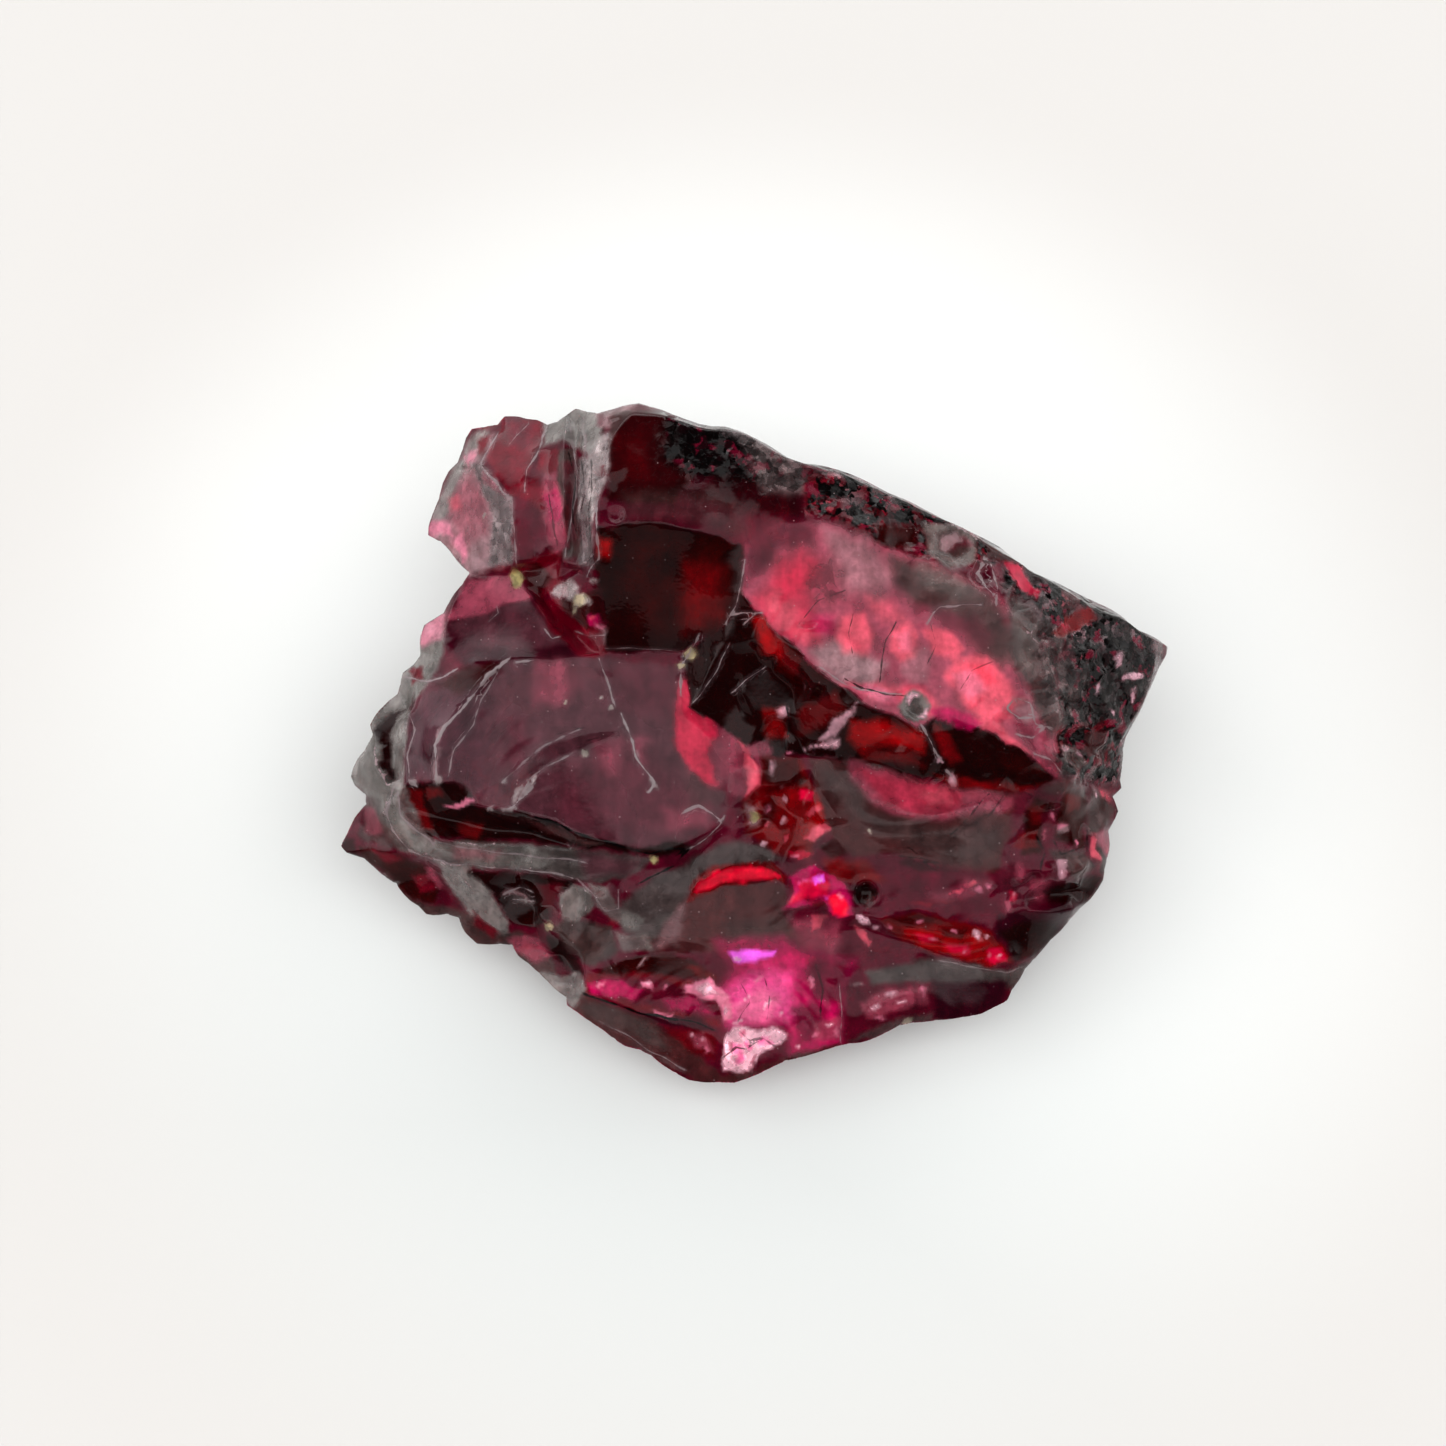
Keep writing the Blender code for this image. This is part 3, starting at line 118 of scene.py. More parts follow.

# Patches of finish on the upper side, the later ones over the earlier: finish, strength, softness of
# the border, corners of the outline. Besides the stone's own colour and crust they paint its light and
# shade: painted glows where light comes through, painted grey reflections on smooth faces, and painted
# shade on the window, the cliff and in hollows.
PATCHES = [
    # the broad smooth face
    ("wine", 1.0, 0.1, [(-7.0, 2.35), (-4.35, 2.4), (-2.1, 2.1), (-2.2, 0.0), (-0.9, -1.2),
        (-0.8, -1.9), (-1.6, -2.6), (-2.5, -3.0), (-4.0, -2.85), (-5.2, -2.5), (-6.7, -1.95),
        (-7.8, -1.7), (-8.5, -1.1), (-9.9, -1.1), (-10.0, 0.0), (-9.6, 1.2), (-8.9, 1.6)]),
    ("dusk", 0.9, 0.5, [(-10.0, -1.0), (-10.0, 0.8), (-9.0, 1.5), (-7.6, 1.8), (-7.6, -1.3)]),
    ("garnet", 0.45, 0.5, [(-5.4, -0.6), (-3.3, -0.2), (-1.6, -1.4), (-1.4, -2.4), (-4.2, -2.6),
        (-5.6, -2.0)]),
    ("garnet", 0.35, 0.4, [(-4.2, 2.3), (-2.2, 2.2), (-2.3, 0.8), (-4.0, 0.9)]),
    ("rose", 0.75, 0.35, [(-6.1, 2.4), (-5.4, 2.4), (-5.1, 1.6), (-5.5, 1.1), (-6.2, 1.2)]),
    ("garnet", 0.6, 0.3, [(-7.0, 0.7), (-6.5, 0.7), (-6.6, -0.6), (-7.0, -0.6)]),
    ("rose", 0.7, 0.3, [(-4.5, 0.0), (-3.8, 0.0), (-3.9, -0.9), (-4.4, -0.8)]),
    ("rose", 0.5, 0.25, [(-3.6, 0.0), (-3.1, 0.1), (-3.3, -0.5)]),
    ("rose", 0.6, 0.25, [(-2.6, -1.9), (-1.3, -1.8), (-1.4, -2.3), (-2.5, -2.4)]),
    ("haze_sheen", 0.4, 0.3, [(-2.0, -0.8), (-1.0, -0.9), (-0.9, -1.7), (-1.9, -1.8)]),
    # the crescent at its right end, a painted glow
    ("rose", 0.55, 0.12, [(-1.2, 0.55), (-0.5, 0.05), (-0.25, -0.7), (-0.35, -1.5), (-1.2, -1.3),
        (-1.6, -0.8), (-1.3, -0.2)]),
    ("ember", 1.0, 0.10, [(-2.12, 1.8), (-1.72, 1.72), (-1.88, 1.0), (-1.2, 0.72), (-1.15, 0.2),
        (-1.4, -0.3), (-1.25, -0.8), (-1.1, -1.2), (-1.5, -1.1), (-2.0, -0.5), (-2.3, 0.0),
        (-2.3, 0.9)]),
    ("coral", 0.95, 0.08, [(-0.55, 0.05), (-0.1, -0.5), (0.15, -1.0), (0.0, -1.4), (-0.35, -1.6),
        (-0.25, -0.9), (-0.35, -0.3)]),
    # the upper left face
    ("night", 0.8, 0.15, [(-8.9, 3.5), (-7.5, 4.0), (-6.4, 4.1), (-5.0, 2.4), (-8.3, 2.2),
        (-8.9, 2.8)]),
    ("wine", 0.8, 0.15, [(-8.8, 3.4), (-7.5, 3.9), (-6.5, 4.0), (-5.4, 2.8), (-6.9, 2.6), (-8.3, 2.8)]),
    ("rose", 0.9, 0.08, [(-8.9, 3.55), (-8.3, 4.7), (-6.9, 4.8), (-6.4, 4.1), (-7.3, 3.95),
        (-8.1, 3.55)]),
    ("rose", 0.8, 0.2, [(-8.6, 4.0), (-8.2, 4.6), (-7.0, 4.7), (-6.5, 4.2), (-7.4, 4.15)]),
    ("blood", 0.9, 0.12, [(-9.1, 1.7), (-8.2, 2.2), (-7.1, 2.3), (-7.7, 1.7), (-8.4, 1.3)]),
    # the knob, its facets with painted grey reflections and painted pink glows
    ("mist_sheen", 0.8, 0.12, [(-9.6, 6.0), (-9.3, 7.0), (-8.7, 8.0), (-8.2, 9.0), (-7.5, 9.0), (-7.9, 8.0),
        (-7.0, 6.9), (-6.95, 5.1), (-8.3, 4.8), (-9.1, 5.6)]),
    ("rose", 0.55, 0.2, [(-8.9, 7.2), (-8.3, 7.8), (-7.7, 7.0), (-7.8, 6.0), (-8.4, 5.6), (-8.9, 6.3)]),
    ("glass_sheen", 0.95, 0.08, [(-9.7, 6.5), (-9.0, 7.9), (-8.2, 9.1), (-7.7, 9.2), (-8.5, 8.1), (-8.9, 7.1),
        (-9.2, 6.5)]),
    ("blush", 0.7, 0.10, [(-9.6, 6.5), (-9.0, 6.45), (-8.8, 6.0), (-9.2, 6.1), (-9.6, 6.0)]),
    ("coral", 0.5, 0.12, [(-9.0, 7.15), (-8.7, 7.2), (-8.6, 6.8), (-8.9, 6.75)]),
    ("blush", 0.7, 0.08, [(-8.9, 5.9), (-8.6, 6.1), (-8.3, 5.4), (-8.5, 5.2)]),
    ("blush", 0.6, 0.08, [(-8.6, 8.4), (-8.2, 8.6), (-8.1, 8.2), (-8.4, 8.1)]),
    ("frost_and_sheen", 0.9, 0.08, [(-8.3, 8.1), (-7.9, 8.0), (-7.0, 6.95), (-6.95, 5.1), (-7.7, 5.1),
        (-7.5, 6.4), (-7.8, 7.2)]),
    ("rose", 0.5, 0.06, [(-7.9, 7.9), (-7.2, 7.2), (-7.1, 6.95), (-7.4, 7.1), (-7.9, 7.6)]),
    ("claret", 1.0, 0.06, [(-8.1, 8.9), (-7.7, 9.0), (-7.9, 8.35), (-8.1, 8.4)]),
    ("claret", 1.0, 0.05, [(-7.75, 8.3), (-7.35, 9.3), (-6.25, 9.4), (-6.1, 9.0), (-6.45, 7.9),
        (-6.7, 7.1), (-7.0, 7.0), (-7.4, 7.55)]),
    ("plum", 0.6, 0.15, [(-7.3, 9.2), (-6.4, 9.3), (-6.5, 8.5), (-7.0, 8.6)]),
    ("plum", 1.0, 0.06, [(-6.95, 6.9), (-6.5, 6.9), (-6.0, 6.4), (-5.9, 5.7), (-6.3, 5.2),
        (-6.9, 5.2)]),
    ("claret", 0.8, 0.08, [(-6.75, 7.3), (-6.3, 7.6), (-6.0, 7.1), (-6.0, 6.4), (-6.4, 6.8),
        (-6.8, 6.95)]),
    # the ribs between the knob and the plateau
    ("glass_sheen", 1.0, 0.08, [(-6.1, 9.3), (-5.2, 9.7), (-4.5, 9.6), (-4.3, 8.4), (-4.7, 8.1), (-5.5, 8.6),
        (-6.1, 8.5)]),
    ("mist_sheen", 0.9, 0.08, [(-4.6, 9.7), (-3.4, 9.6), (-4.0, 8.8), (-4.5, 8.9)]),
    ("garnet", 0.7, 0.06, [(-4.4, 9.5), (-4.2, 9.5), (-4.4, 8.9), (-4.6, 8.9)]),
    ("garnet", 0.7, 0.06, [(-4.0, 9.5), (-3.8, 9.5), (-4.0, 9.0), (-4.15, 9.0)]),
    ("chalk", 0.8, 0.08, [(-4.5, 8.5), (-4.0, 8.7), (-4.1, 7.6), (-4.4, 6.8), (-4.6, 6.1), (-5.1, 6.2),
        (-5.0, 7.6)]),
    ("frost_and_sheen", 0.8, 0.06, [(-5.1, 8.0), (-4.8, 8.1), (-4.6, 6.4), (-4.5, 4.9), (-5.0, 4.9),
        (-5.0, 6.4)]),
    ("haze_sheen", 1.0, 0.08, [(-5.6, 8.3), (-5.1, 8.4), (-5.0, 6.8), (-4.9, 5.2), (-5.4, 5.2), (-5.7, 6.8)]),
    ("garnet", 0.6, 0.1, [(-5.5, 8.0), (-5.1, 8.0), (-5.1, 5.6), (-5.4, 5.8)]),
    ("claret", 1.0, 0.06, [(-6.2, 8.4), (-5.6, 8.4), (-5.6, 7.9), (-5.9, 7.5), (-6.2, 7.7)]),
    ("rose", 1.0, 0.08, [(-6.1, 7.6), (-5.7, 7.7), (-5.45, 6.4), (-5.3, 5.5), (-5.7, 5.3),
        (-6.0, 6.4)]),
    ("magenta", 0.6, 0.08, [(-6.05, 7.1), (-5.7, 7.2), (-5.5, 6.4), (-5.8, 6.2)]),
    ("claret", 0.9, 0.04, [(-4.4, 7.7), (-4.25, 7.7), (-4.2, 7.4), (-4.4, 7.4)]),
    # the pocket under the knob and the trench below it
    ("claret", 1.0, 0.06, [(-6.85, 5.05), (-5.9, 5.45), (-5.5, 5.3), (-5.5, 4.5), (-6.2, 4.0)]),
    ("blood", 0.8, 0.06, [(-6.7, 4.9), (-6.2, 5.1), (-5.8, 4.7), (-6.2, 4.2), (-6.5, 4.4)]),
    ("claret", 1.0, 0.06, [(-6.3, 4.0), (-5.7, 4.1), (-5.0, 3.7), (-4.2, 3.0), (-4.2, 2.45),
        (-5.0, 2.4), (-5.9, 3.3)]),
    ("blood", 0.9, 0.06, [(-5.6, 4.0), (-4.4, 4.3), (-4.2, 3.4), (-4.8, 3.2), (-5.3, 3.5)]),
    ("magenta", 0.8, 0.05, [(-4.8, 3.6), (-4.4, 3.6), (-4.4, 3.35), (-4.7, 3.3)]),
    ("mist_sheen", 0.9, 0.05, [(-4.3, 3.2), (-4.1, 3.1), (-4.05, 2.75), (-4.3, 2.7)]),
    ("chalk", 0.9, 0.05, [(-5.85, 4.25), (-5.3, 4.65), (-5.0, 4.4), (-5.1, 4.05), (-5.6, 4.1)]),
    ("mist_sheen", 0.6, 0.05, [(-5.8, 4.2), (-5.4, 4.5), (-5.3, 4.1)]),
    ("chalk", 0.8, 0.04, [(-5.1, 4.2), (-4.8, 4.15), (-4.7, 3.9), (-5.0, 3.85)]),
    # the plateau above the window
    ("blood", 0.9, 0.1, [(-4.1, 9.3), (-2.5, 9.3), (-1.6, 7.6), (-2.4, 6.6), (-4.2, 6.7), (-4.1, 7.9)]),
    ("crimson", 0.18, 0.3, [(-4.0, 8.6), (-3.2, 8.6), (-3.0, 7.4), (-3.9, 7.4)]),
    ("soot", 0.95, 0.25, [(-2.5, 9.2), (-0.1, 8.7), (0.4, 8.0), (0.2, 7.0), (-1.0, 7.1), (-1.8, 7.4),
        (-2.7, 7.9)]),
    ("dark", 0.8, 0.3, [(-3.0, 7.0), (-1.0, 7.3), (1.3, 7.0), (1.3, 6.2), (0.2, 6.2), (-1.5, 6.7)]),
    ("haze_sheen", 0.45, 0.25, [(-3.7, 6.9), (-1.2, 7.0), (-0.3, 6.4), (-0.3, 5.7), (-2.2, 6.15),
        (-3.6, 6.15)]),
    ("ash", 0.9, 0.2, [(-0.4, 8.6), (0.6, 8.3), (1.4, 7.8), (1.3, 6.9), (0.3, 6.9), (-0.2, 7.6)]),
    ("frost_and_sheen", 1.0, 0.15, [(-2.2, 9.4), (-0.6, 9.0), (1.0, 8.3), (1.0, 8.0), (-0.8, 8.6), (-2.2, 9.1)]),
    # the crusted back edge
    ("crust", 1.0, 0.15, [(0.5, 8.7), (3.4, 7.5), (5.2, 6.6), (7.2, 5.6), (6.6, 4.9), (5.0, 5.9),
        (3.0, 6.9), (1.0, 7.9)]),
    ("rose", 0.55, 0.10, [(1.6, 8.3), (3.4, 7.5), (5.2, 6.6), (6.6, 5.9), (6.2, 5.7), (4.8, 6.5),
        (3.2, 7.2)]),
    ("mist_sheen", 0.55, 0.05, [(2.8, 7.8), (4.0, 7.3), (5.2, 6.7), (5.0, 6.6), (3.8, 7.1), (2.8, 7.6)]),
    ("clot", 0.95, 0.15, [(1.3, 7.6), (3.0, 7.1), (4.6, 6.4), (6.4, 5.5), (6.4, 4.9), (5.0, 5.0),
        (3.3, 5.5), (2.0, 6.2), (1.3, 6.3)]),
    ("crust", 0.8, 0.15, [(2.2, 7.1), (2.9, 6.9), (3.0, 6.2), (2.3, 6.2)]),
    ("blood", 1.0, 0.1, [(3.2, 6.0), (4.5, 6.0), (4.4, 5.5), (3.8, 5.3), (3.4, 5.5)]),
    ("pane_sheen", 0.9, 0.1, [(4.6, 6.1), (5.6, 6.1), (6.2, 5.7), (6.0, 5.0), (5.2, 4.8), (4.7, 5.3)]),
    ("rose", 0.8, 0.08, [(5.1, 5.6), (5.8, 5.8), (6.0, 5.5), (5.3, 5.3)]),
    ("blood", 0.7, 0.06, [(4.95, 5.75), (5.4, 5.95), (5.85, 5.75), (5.9, 5.3), (5.4, 5.05),
        (5.0, 5.25)]),
    ("mist_sheen", 0.9, 0.05, [(5.1, 5.6), (5.5, 5.8), (5.75, 5.6), (5.5, 5.5), (5.25, 5.3), (5.1, 5.35)]),
    # the smooth face, with a painted glow and painted grey reflections
    ("rose", 1.0, 0.08, [(-0.35, 5.4), (0.6, 6.0), (1.7, 6.1), (3.3, 5.5), (5.0, 4.9), (6.6, 4.1),
        (7.8, 2.8), (8.3, 0.8), (8.3, -1.0), (7.2, -0.1), (6.1, 0.4), (5.0, 0.8), (4.4, 0.4),
        (2.9, 1.1), (1.7, 2.0), (0.6, 3.0), (-0.35, 4.0)]),
    ("garnet", 0.95, 0.25, [(-0.4, 5.6), (0.6, 6.1), (1.6, 6.1), (1.5, 5.4), (0.6, 5.3), (0.2, 4.7),
        (-0.3, 4.3)]),
    ("ember", 0.8, 0.25, [(0.2, 4.2), (0.5, 5.0), (1.2, 5.3), (1.7, 5.0), (1.5, 4.2), (1.6, 3.4),
        (1.8, 2.7), (0.9, 2.8), (0.2, 3.4), (-0.2, 3.9)]),
    ("coral", 0.8, 0.25, [(0.2, 3.9), (0.6, 4.2), (1.1, 3.6), (1.4, 2.8), (0.9, 2.9), (0.4, 3.4)]),
    ("hot", 0.35, 0.2, [(0.5, 4.4), (1.1, 4.9), (1.4, 4.5), (1.1, 4.0), (0.7, 3.9)]),
    ("clot", 0.35, 0.3, [(1.4, 4.9), (2.1, 5.2), (2.4, 4.5), (2.0, 3.7), (1.6, 3.9)]),
    ("magenta", 0.5, 0.15, [(1.4, 3.6), (2.1, 3.5), (2.1, 3.0), (1.6, 3.0)]),
    ("mist_sheen", 0.55, 0.3, [(1.8, 5.9), (3.0, 5.6), (3.8, 4.6), (3.4, 3.9), (2.5, 4.1), (2.2, 4.9)]),
    ("garnet", 0.45, 0.25, [(2.6, 4.2), (3.4, 4.4), (3.8, 3.8), (3.2, 3.5), (2.6, 3.7)]),
    ("haze_sheen", 0.95, 0.3, [(3.6, 5.2), (5.0, 4.8), (6.6, 4.0), (7.3, 2.6), (6.7, 2.1), (6.2, 2.4),
        (5.7, 3.2), (5.0, 3.6), (4.4, 3.7), (3.8, 4.3)]),
    ("garnet", 0.6, 0.2, [(4.9, 3.6), (6.0, 3.5), (6.5, 3.0), (6.3, 2.4), (5.7, 2.9), (5.1, 3.2)]),
    ("pane_sheen", 0.6, 0.25, [(4.4, 5.0), (5.6, 4.6), (6.3, 4.0), (5.4, 4.0), (4.6, 4.3)]),
    ("mist_sheen", 0.9, 0.2, [(1.5, 2.5), (2.2, 2.9), (3.0, 2.4), (3.6, 2.2), (3.3, 1.6), (2.4, 1.6),
        (1.7, 2.1)]),
    ("garnet", 0.35, 0.15, [(1.7, 2.8), (2.3, 3.2), (2.4, 2.7), (1.9, 2.6)]),
    ("coral", 0.9, 0.15, [(2.3, 3.4), (2.9, 3.6), (3.2, 3.0), (3.0, 2.4), (2.4, 2.5), (2.2, 2.9)]),
    ("coral", 0.5, 0.2, [(3.0, 4.0), (3.8, 3.8), (4.2, 3.3), (3.4, 3.3)]),
    ("garnet", 0.35, 0.12, [(3.1, 3.3), (3.6, 3.4), (3.6, 2.4), (3.2, 2.3)]),
    ("coral", 1.0, 0.12, [(3.7, 3.1), (4.1, 3.3), (4.4, 3.0), (4.4, 2.4), (4.0, 2.2), (3.6, 2.5)]),
    ("blush", 0.4, 0.12, [(3.8, 3.0), (4.2, 3.1), (4.3, 2.6), (3.9, 2.4)]),
    ("mist_sheen", 0.4, 0.15, [(4.3, 2.6), (4.7, 2.6), (4.7, 1.7), (4.3, 1.6), (3.9, 1.9)]),
    ("coral", 1.0, 0.12, [(4.6, 3.1), (5.3, 3.1), (5.7, 2.6), (5.4, 2.3), (4.8, 2.5)]),
    ("coral", 1.0, 0.14, [(5.4, 2.3), (6.3, 2.4), (6.9, 1.6), (7.2, 1.1), (7.0, 0.6), (6.3, 0.6),
        (5.8, 0.9), (5.5, 1.4), (5.2, 1.8)]),
    ("flame", 0.35, 0.12, [(5.7, 2.1), (6.3, 2.2), (6.6, 1.6), (6.2, 1.5)]),
    ("blush", 0.5, 0.10, [(5.4, 1.9), (5.9, 2.0), (6.3, 1.4), (5.8, 1.2), (5.5, 1.4)]),
    ("coral", 0.7, 0.15, [(2.2, 1.6), (2.9, 1.3), (3.9, 1.1), (4.3, 0.7), (5.0, 0.9), (4.6, 1.5),
        (3.4, 1.6)]),
    ("blush", 0.6, 0.10, [(2.6, 1.45), (3.4, 1.15), (3.9, 1.1), (3.7, 1.35), (3.0, 1.6)]),
    ("magenta", 0.7, 0.08, [(4.6, 0.95), (5.3, 1.0), (6.2, 0.6), (5.9, 0.4), (5.0, 0.75)]),
    ("coral", 0.8, 0.08, [(5.9, 0.7), (6.6, 0.6), (7.2, 0.0), (7.6, -0.4), (7.2, -0.1), (6.1, 0.45)]),
    ("garnet", 0.5, 0.15, [(6.8, 0.9), (7.4, 0.7), (8.2, -0.2), (8.4, -0.9), (7.9, -0.6), (7.2, 0.2)]),
    ("smoke_sheen", 0.95, 0.2, [(6.9, 4.3), (7.6, 3.8), (8.5, 2.4), (8.7, 0.9), (8.2, 0.1), (7.7, 0.6),
        (7.4, 1.6), (6.9, 2.3), (6.9, 3.2)]),
    ("pane_sheen", 0.5, 0.15, [(7.0, 3.6), (7.6, 2.9), (7.7, 1.8), (7.2, 2.2)]),
    ("mist_sheen", 0.6, 0.08, [(7.0, 1.3), (7.4, 1.3), (7.7, 0.7), (7.4, 0.5), (7.1, 0.8)]),
    ("plum", 0.7, 0.15, [(8.2, 3.2), (8.8, 2.9), (8.8, 1.6), (8.3, 1.2), (8.2, 2.2)]),
    # the window, painted dark as shade, with painted red glows
    ("dark", 1.0, 0.06, WINDOW),
    ("blood", 1.0, 0.35, [(-3.3, 5.6), (-1.0, 5.5), (-0.6, 4.0), (-1.0, 3.3), (-2.3, 3.0), (-3.6, 3.4),
        (-3.8, 4.6)]),
    ("crimson", 0.9, 0.4, [(-2.1, 4.9), (-1.0, 4.8), (-1.0, 3.5), (-2.0, 3.1)]),
    ("dark", 0.9, 0.2, [(-2.8, 5.3), (-2.1, 5.3), (-2.1, 4.6), (-2.7, 4.6)]),
    ("dark", 0.9, 0.2, [(-3.4, 6.1), (-2.6, 6.1), (-2.7, 5.6), (-3.3, 5.6)]),
    ("scarlet", 0.8, 0.12, [(-4.45, 5.7), (-4.0, 5.6), (-4.1, 5.1), (-4.4, 5.2)]),
    # the cliff, painted dark as shade, with painted red glows and highlights in it
    ("dark", 1.0, 0.05, CLIFF),
    ("scarlet", 0.9, 0.12, [(-0.2, 3.5), (0.2, 3.4), (0.8, 2.6), (0.7, 2.2), (0.2, 2.5)]),
    ("crimson", 0.9, 0.12, [(0.7, 2.7), (1.2, 2.3), (1.0, 1.9), (0.6, 2.1)]),
    ("scarlet", 0.7, 0.12, [(0.2, 0.9), (0.7, 1.0), (0.8, 0.2), (0.3, 0.1)]),
    ("crimson", 0.7, 0.12, [(1.2, 0.9), (2.2, 1.4), (2.4, 0.9), (1.6, 0.3), (1.2, 0.2)]),
    ("scarlet", 0.95, 0.15, [(2.6, 0.6), (3.6, 0.6), (4.6, 0.2), (4.6, -0.3), (3.6, 0.0), (3.0, -0.2),
        (2.6, 0.1)]),
    ("crimson", 0.8, 0.15, [(2.8, -0.1), (4.4, -0.3), (4.6, -0.6), (3.2, -0.5)]),
    ("crimson", 1.0, 0.1, [(4.9, 0.5), (5.3, 0.2), (5.7, -0.5), (5.4, -0.6), (4.9, 0.0)]),
    ("blood", 0.9, 0.12, [(6.7, -0.2), (7.4, -0.4), (7.9, -0.8), (6.9, -0.8)]),
    ("magenta", 0.7, 0.06, [(4.8, 0.95), (5.4, 0.9), (6.2, 0.5), (5.9, 0.35), (5.0, 0.6)]),
    ("crimson", 0.9, 0.08, [(4.9, -0.9), (7.4, -1.2), (8.2, -1.1), (7.6, -1.35), (5.6, -1.3)]),
    ("rose", 0.8, 0.05, [(-0.4, -0.1), (0.3, 0.05), (0.5, -0.3), (0.1, -0.8), (-0.1, -0.4)]),
    ("pearl", 1.0, 0.05, [(1.3, -0.22), (2.0, 0.08), (2.3, 0.1), (2.25, -0.1), (1.7, -0.15)]),
    ("pearl", 0.6, 0.05, [(1.75, 0.1), (2.05, 0.55), (2.6, 0.95), (2.7, 1.15), (2.6, 0.75),
        (2.2, 0.2)]),
    ("pearl", 0.55, 0.05, [(0.6, 1.0), (0.85, 1.0), (0.85, 0.7), (0.65, 0.7)]),
    ("pane_sheen", 1.0, 0.05, [(4.74, 1.0), (4.61, 1.31), (4.3, 1.44), (3.99, 1.31), (3.86, 1.0),
        (3.99, 0.69), (4.3, 0.56), (4.61, 0.69)]),
    ("smoke_sheen", 0.9, 0.05, [(4.55, 1.0), (4.45, 1.2), (4.2, 1.2), (4.05, 1.0), (4.2, 0.8), (4.45, 0.8)]),
    ("pearl", 0.9, 0.03, [(4.0, 1.15), (4.25, 1.34), (4.5, 1.3), (4.3, 1.22), (4.15, 1.05)]),
    ("pearl", 0.8, 0.03, [(4.35, 0.72), (4.6, 0.8), (4.64, 1.0), (4.5, 0.86)]),
    # the broken pocket in the middle, with painted red and pink glows
    ("crimson", 1.0, 0.08, [(0.1, -0.4), (1.2, -0.5), (1.7, -1.3), (2.35, -2.0), (1.6, -2.8),
        (1.4, -3.3), (0.6, -3.2), (-0.3, -2.5), (-0.4, -1.6), (0.1, -1.2)]),
    ("scarlet", 0.35, 0.3, [(0.0, -1.4), (1.2, -1.3), (1.4, -2.6), (1.0, -3.1), (0.2, -2.5)]),
    ("blood", 0.8, 0.12, [(0.2, -0.5), (1.1, -0.5), (1.4, -1.1), (0.6, -1.3), (0.2, -1.1)]),
    ("blood", 0.6, 0.08, [(0.2, -1.7), (0.6, -1.6), (0.5, -2.3), (0.1, -2.4)]),
    ("scarlet", 0.9, 0.06, [(1.55, -1.7), (2.0, -1.65), (2.35, -2.05), (2.1, -2.3), (1.5, -2.85),
        (1.3, -2.2)]),
    ("hot", 0.8, 0.05, [(1.2, -1.35), (1.65, -1.35), (1.6, -1.62), (1.2, -1.6)]),
    ("coral", 1.0, 0.05, [(2.1, -2.2), (2.15, -2.4), (1.6, -2.8), (1.43, -2.75), (1.5, -2.5),
        (1.8, -2.3)]),
    ("coral", 0.9, 0.05, [(1.42, -2.05), (1.55, -1.85), (1.85, -1.82), (1.75, -1.95)]),
    ("mist_sheen", 0.7, 0.06, [(-0.35, -1.7), (0.0, -1.9), (0.1, -2.3), (-0.2, -2.4)]),
    ("blood", 0.9, 0.06, [(1.7, -2.95), (2.4, -2.6), (2.6, -3.1), (2.2, -3.3)]),
    ("hot", 0.6, 0.06, [(0.9, -3.05), (1.5, -3.15), (1.2, -3.4)]),
    # the scallop
    ("slate", 1.0, 0.06, [(1.5, -0.45), (3.0, -0.5), (5.0, -1.2), (7.6, -1.4), (7.6, -1.9), (7.0, -2.9),
        (6.8, -3.7), (5.4, -3.6), (3.9, -3.1), (2.7, -3.2), (2.1, -2.6), (1.7, -1.3)]),
    ("smoke_sheen", 0.5, 0.3, [(1.6, -0.6), (2.6, -0.8), (3.2, -1.9), (5.0, -2.4), (6.9, -2.4), (6.8, -3.4),
        (5.6, -3.4), (3.4, -2.6), (2.2, -1.6)]),
    ("rose", 0.85, 0.15, [(2.6, -0.5), (3.9, -0.9), (5.2, -1.3), (6.5, -1.4), (7.4, -1.5), (7.0, -1.9),
        (6.2, -2.0), (5.2, -2.2), (4.2, -2.1), (3.3, -1.7), (2.7, -1.1)]),
    ("ember", 0.6, 0.15, [(2.9, -0.8), (4.0, -1.0), (5.2, -1.2), (5.8, -1.5), (5.6, -2.0), (4.6, -2.05),
        (3.6, -1.7)]),
    ("coral", 0.4, 0.10, [(4.5, -1.3), (5.3, -1.35), (5.6, -1.7), (5.0, -1.85)]),
    ("dark", 0.8, 0.05, [(5.4, -2.75), (5.9, -2.3), (6.5, -2.0), (6.95, -1.5), (6.6, -1.95),
        (6.1, -2.3)]),
    ("plum", 0.9, 0.2, [(3.2, -3.2), (6.8, -3.7), (7.0, -4.9), (5.0, -4.8), (3.6, -4.7)]),
    ("rose", 0.5, 0.15, [(4.9, -4.3), (6.0, -3.9), (6.7, -3.95), (6.2, -4.3), (5.2, -4.5)]),
    ("dark", 0.7, 0.06, [(4.0, -3.35), (4.4, -3.1), (4.5, -3.35), (5.4, -3.6), (4.6, -3.65)]),
    # the lumps beyond it
    ("garnet", 1.0, 0.12, [(7.2, -1.5), (8.3, -1.1), (10.4, -1.4), (10.2, -3.4), (9.2, -3.8),
        (8.2, -4.5), (7.0, -4.9), (6.8, -3.7), (7.1, -2.8)]),
    ("haze_sheen", 0.7, 0.12, [(7.9, -1.3), (8.7, -0.9), (9.5, -1.0), (9.0, -1.3), (8.3, -1.5)]),
    ("blood", 1.0, 0.08, [(7.5, -1.9), (7.8, -1.55), (8.35, -1.6), (8.3, -2.2), (8.0, -3.1),
        (7.4, -3.2), (7.5, -2.5)]),
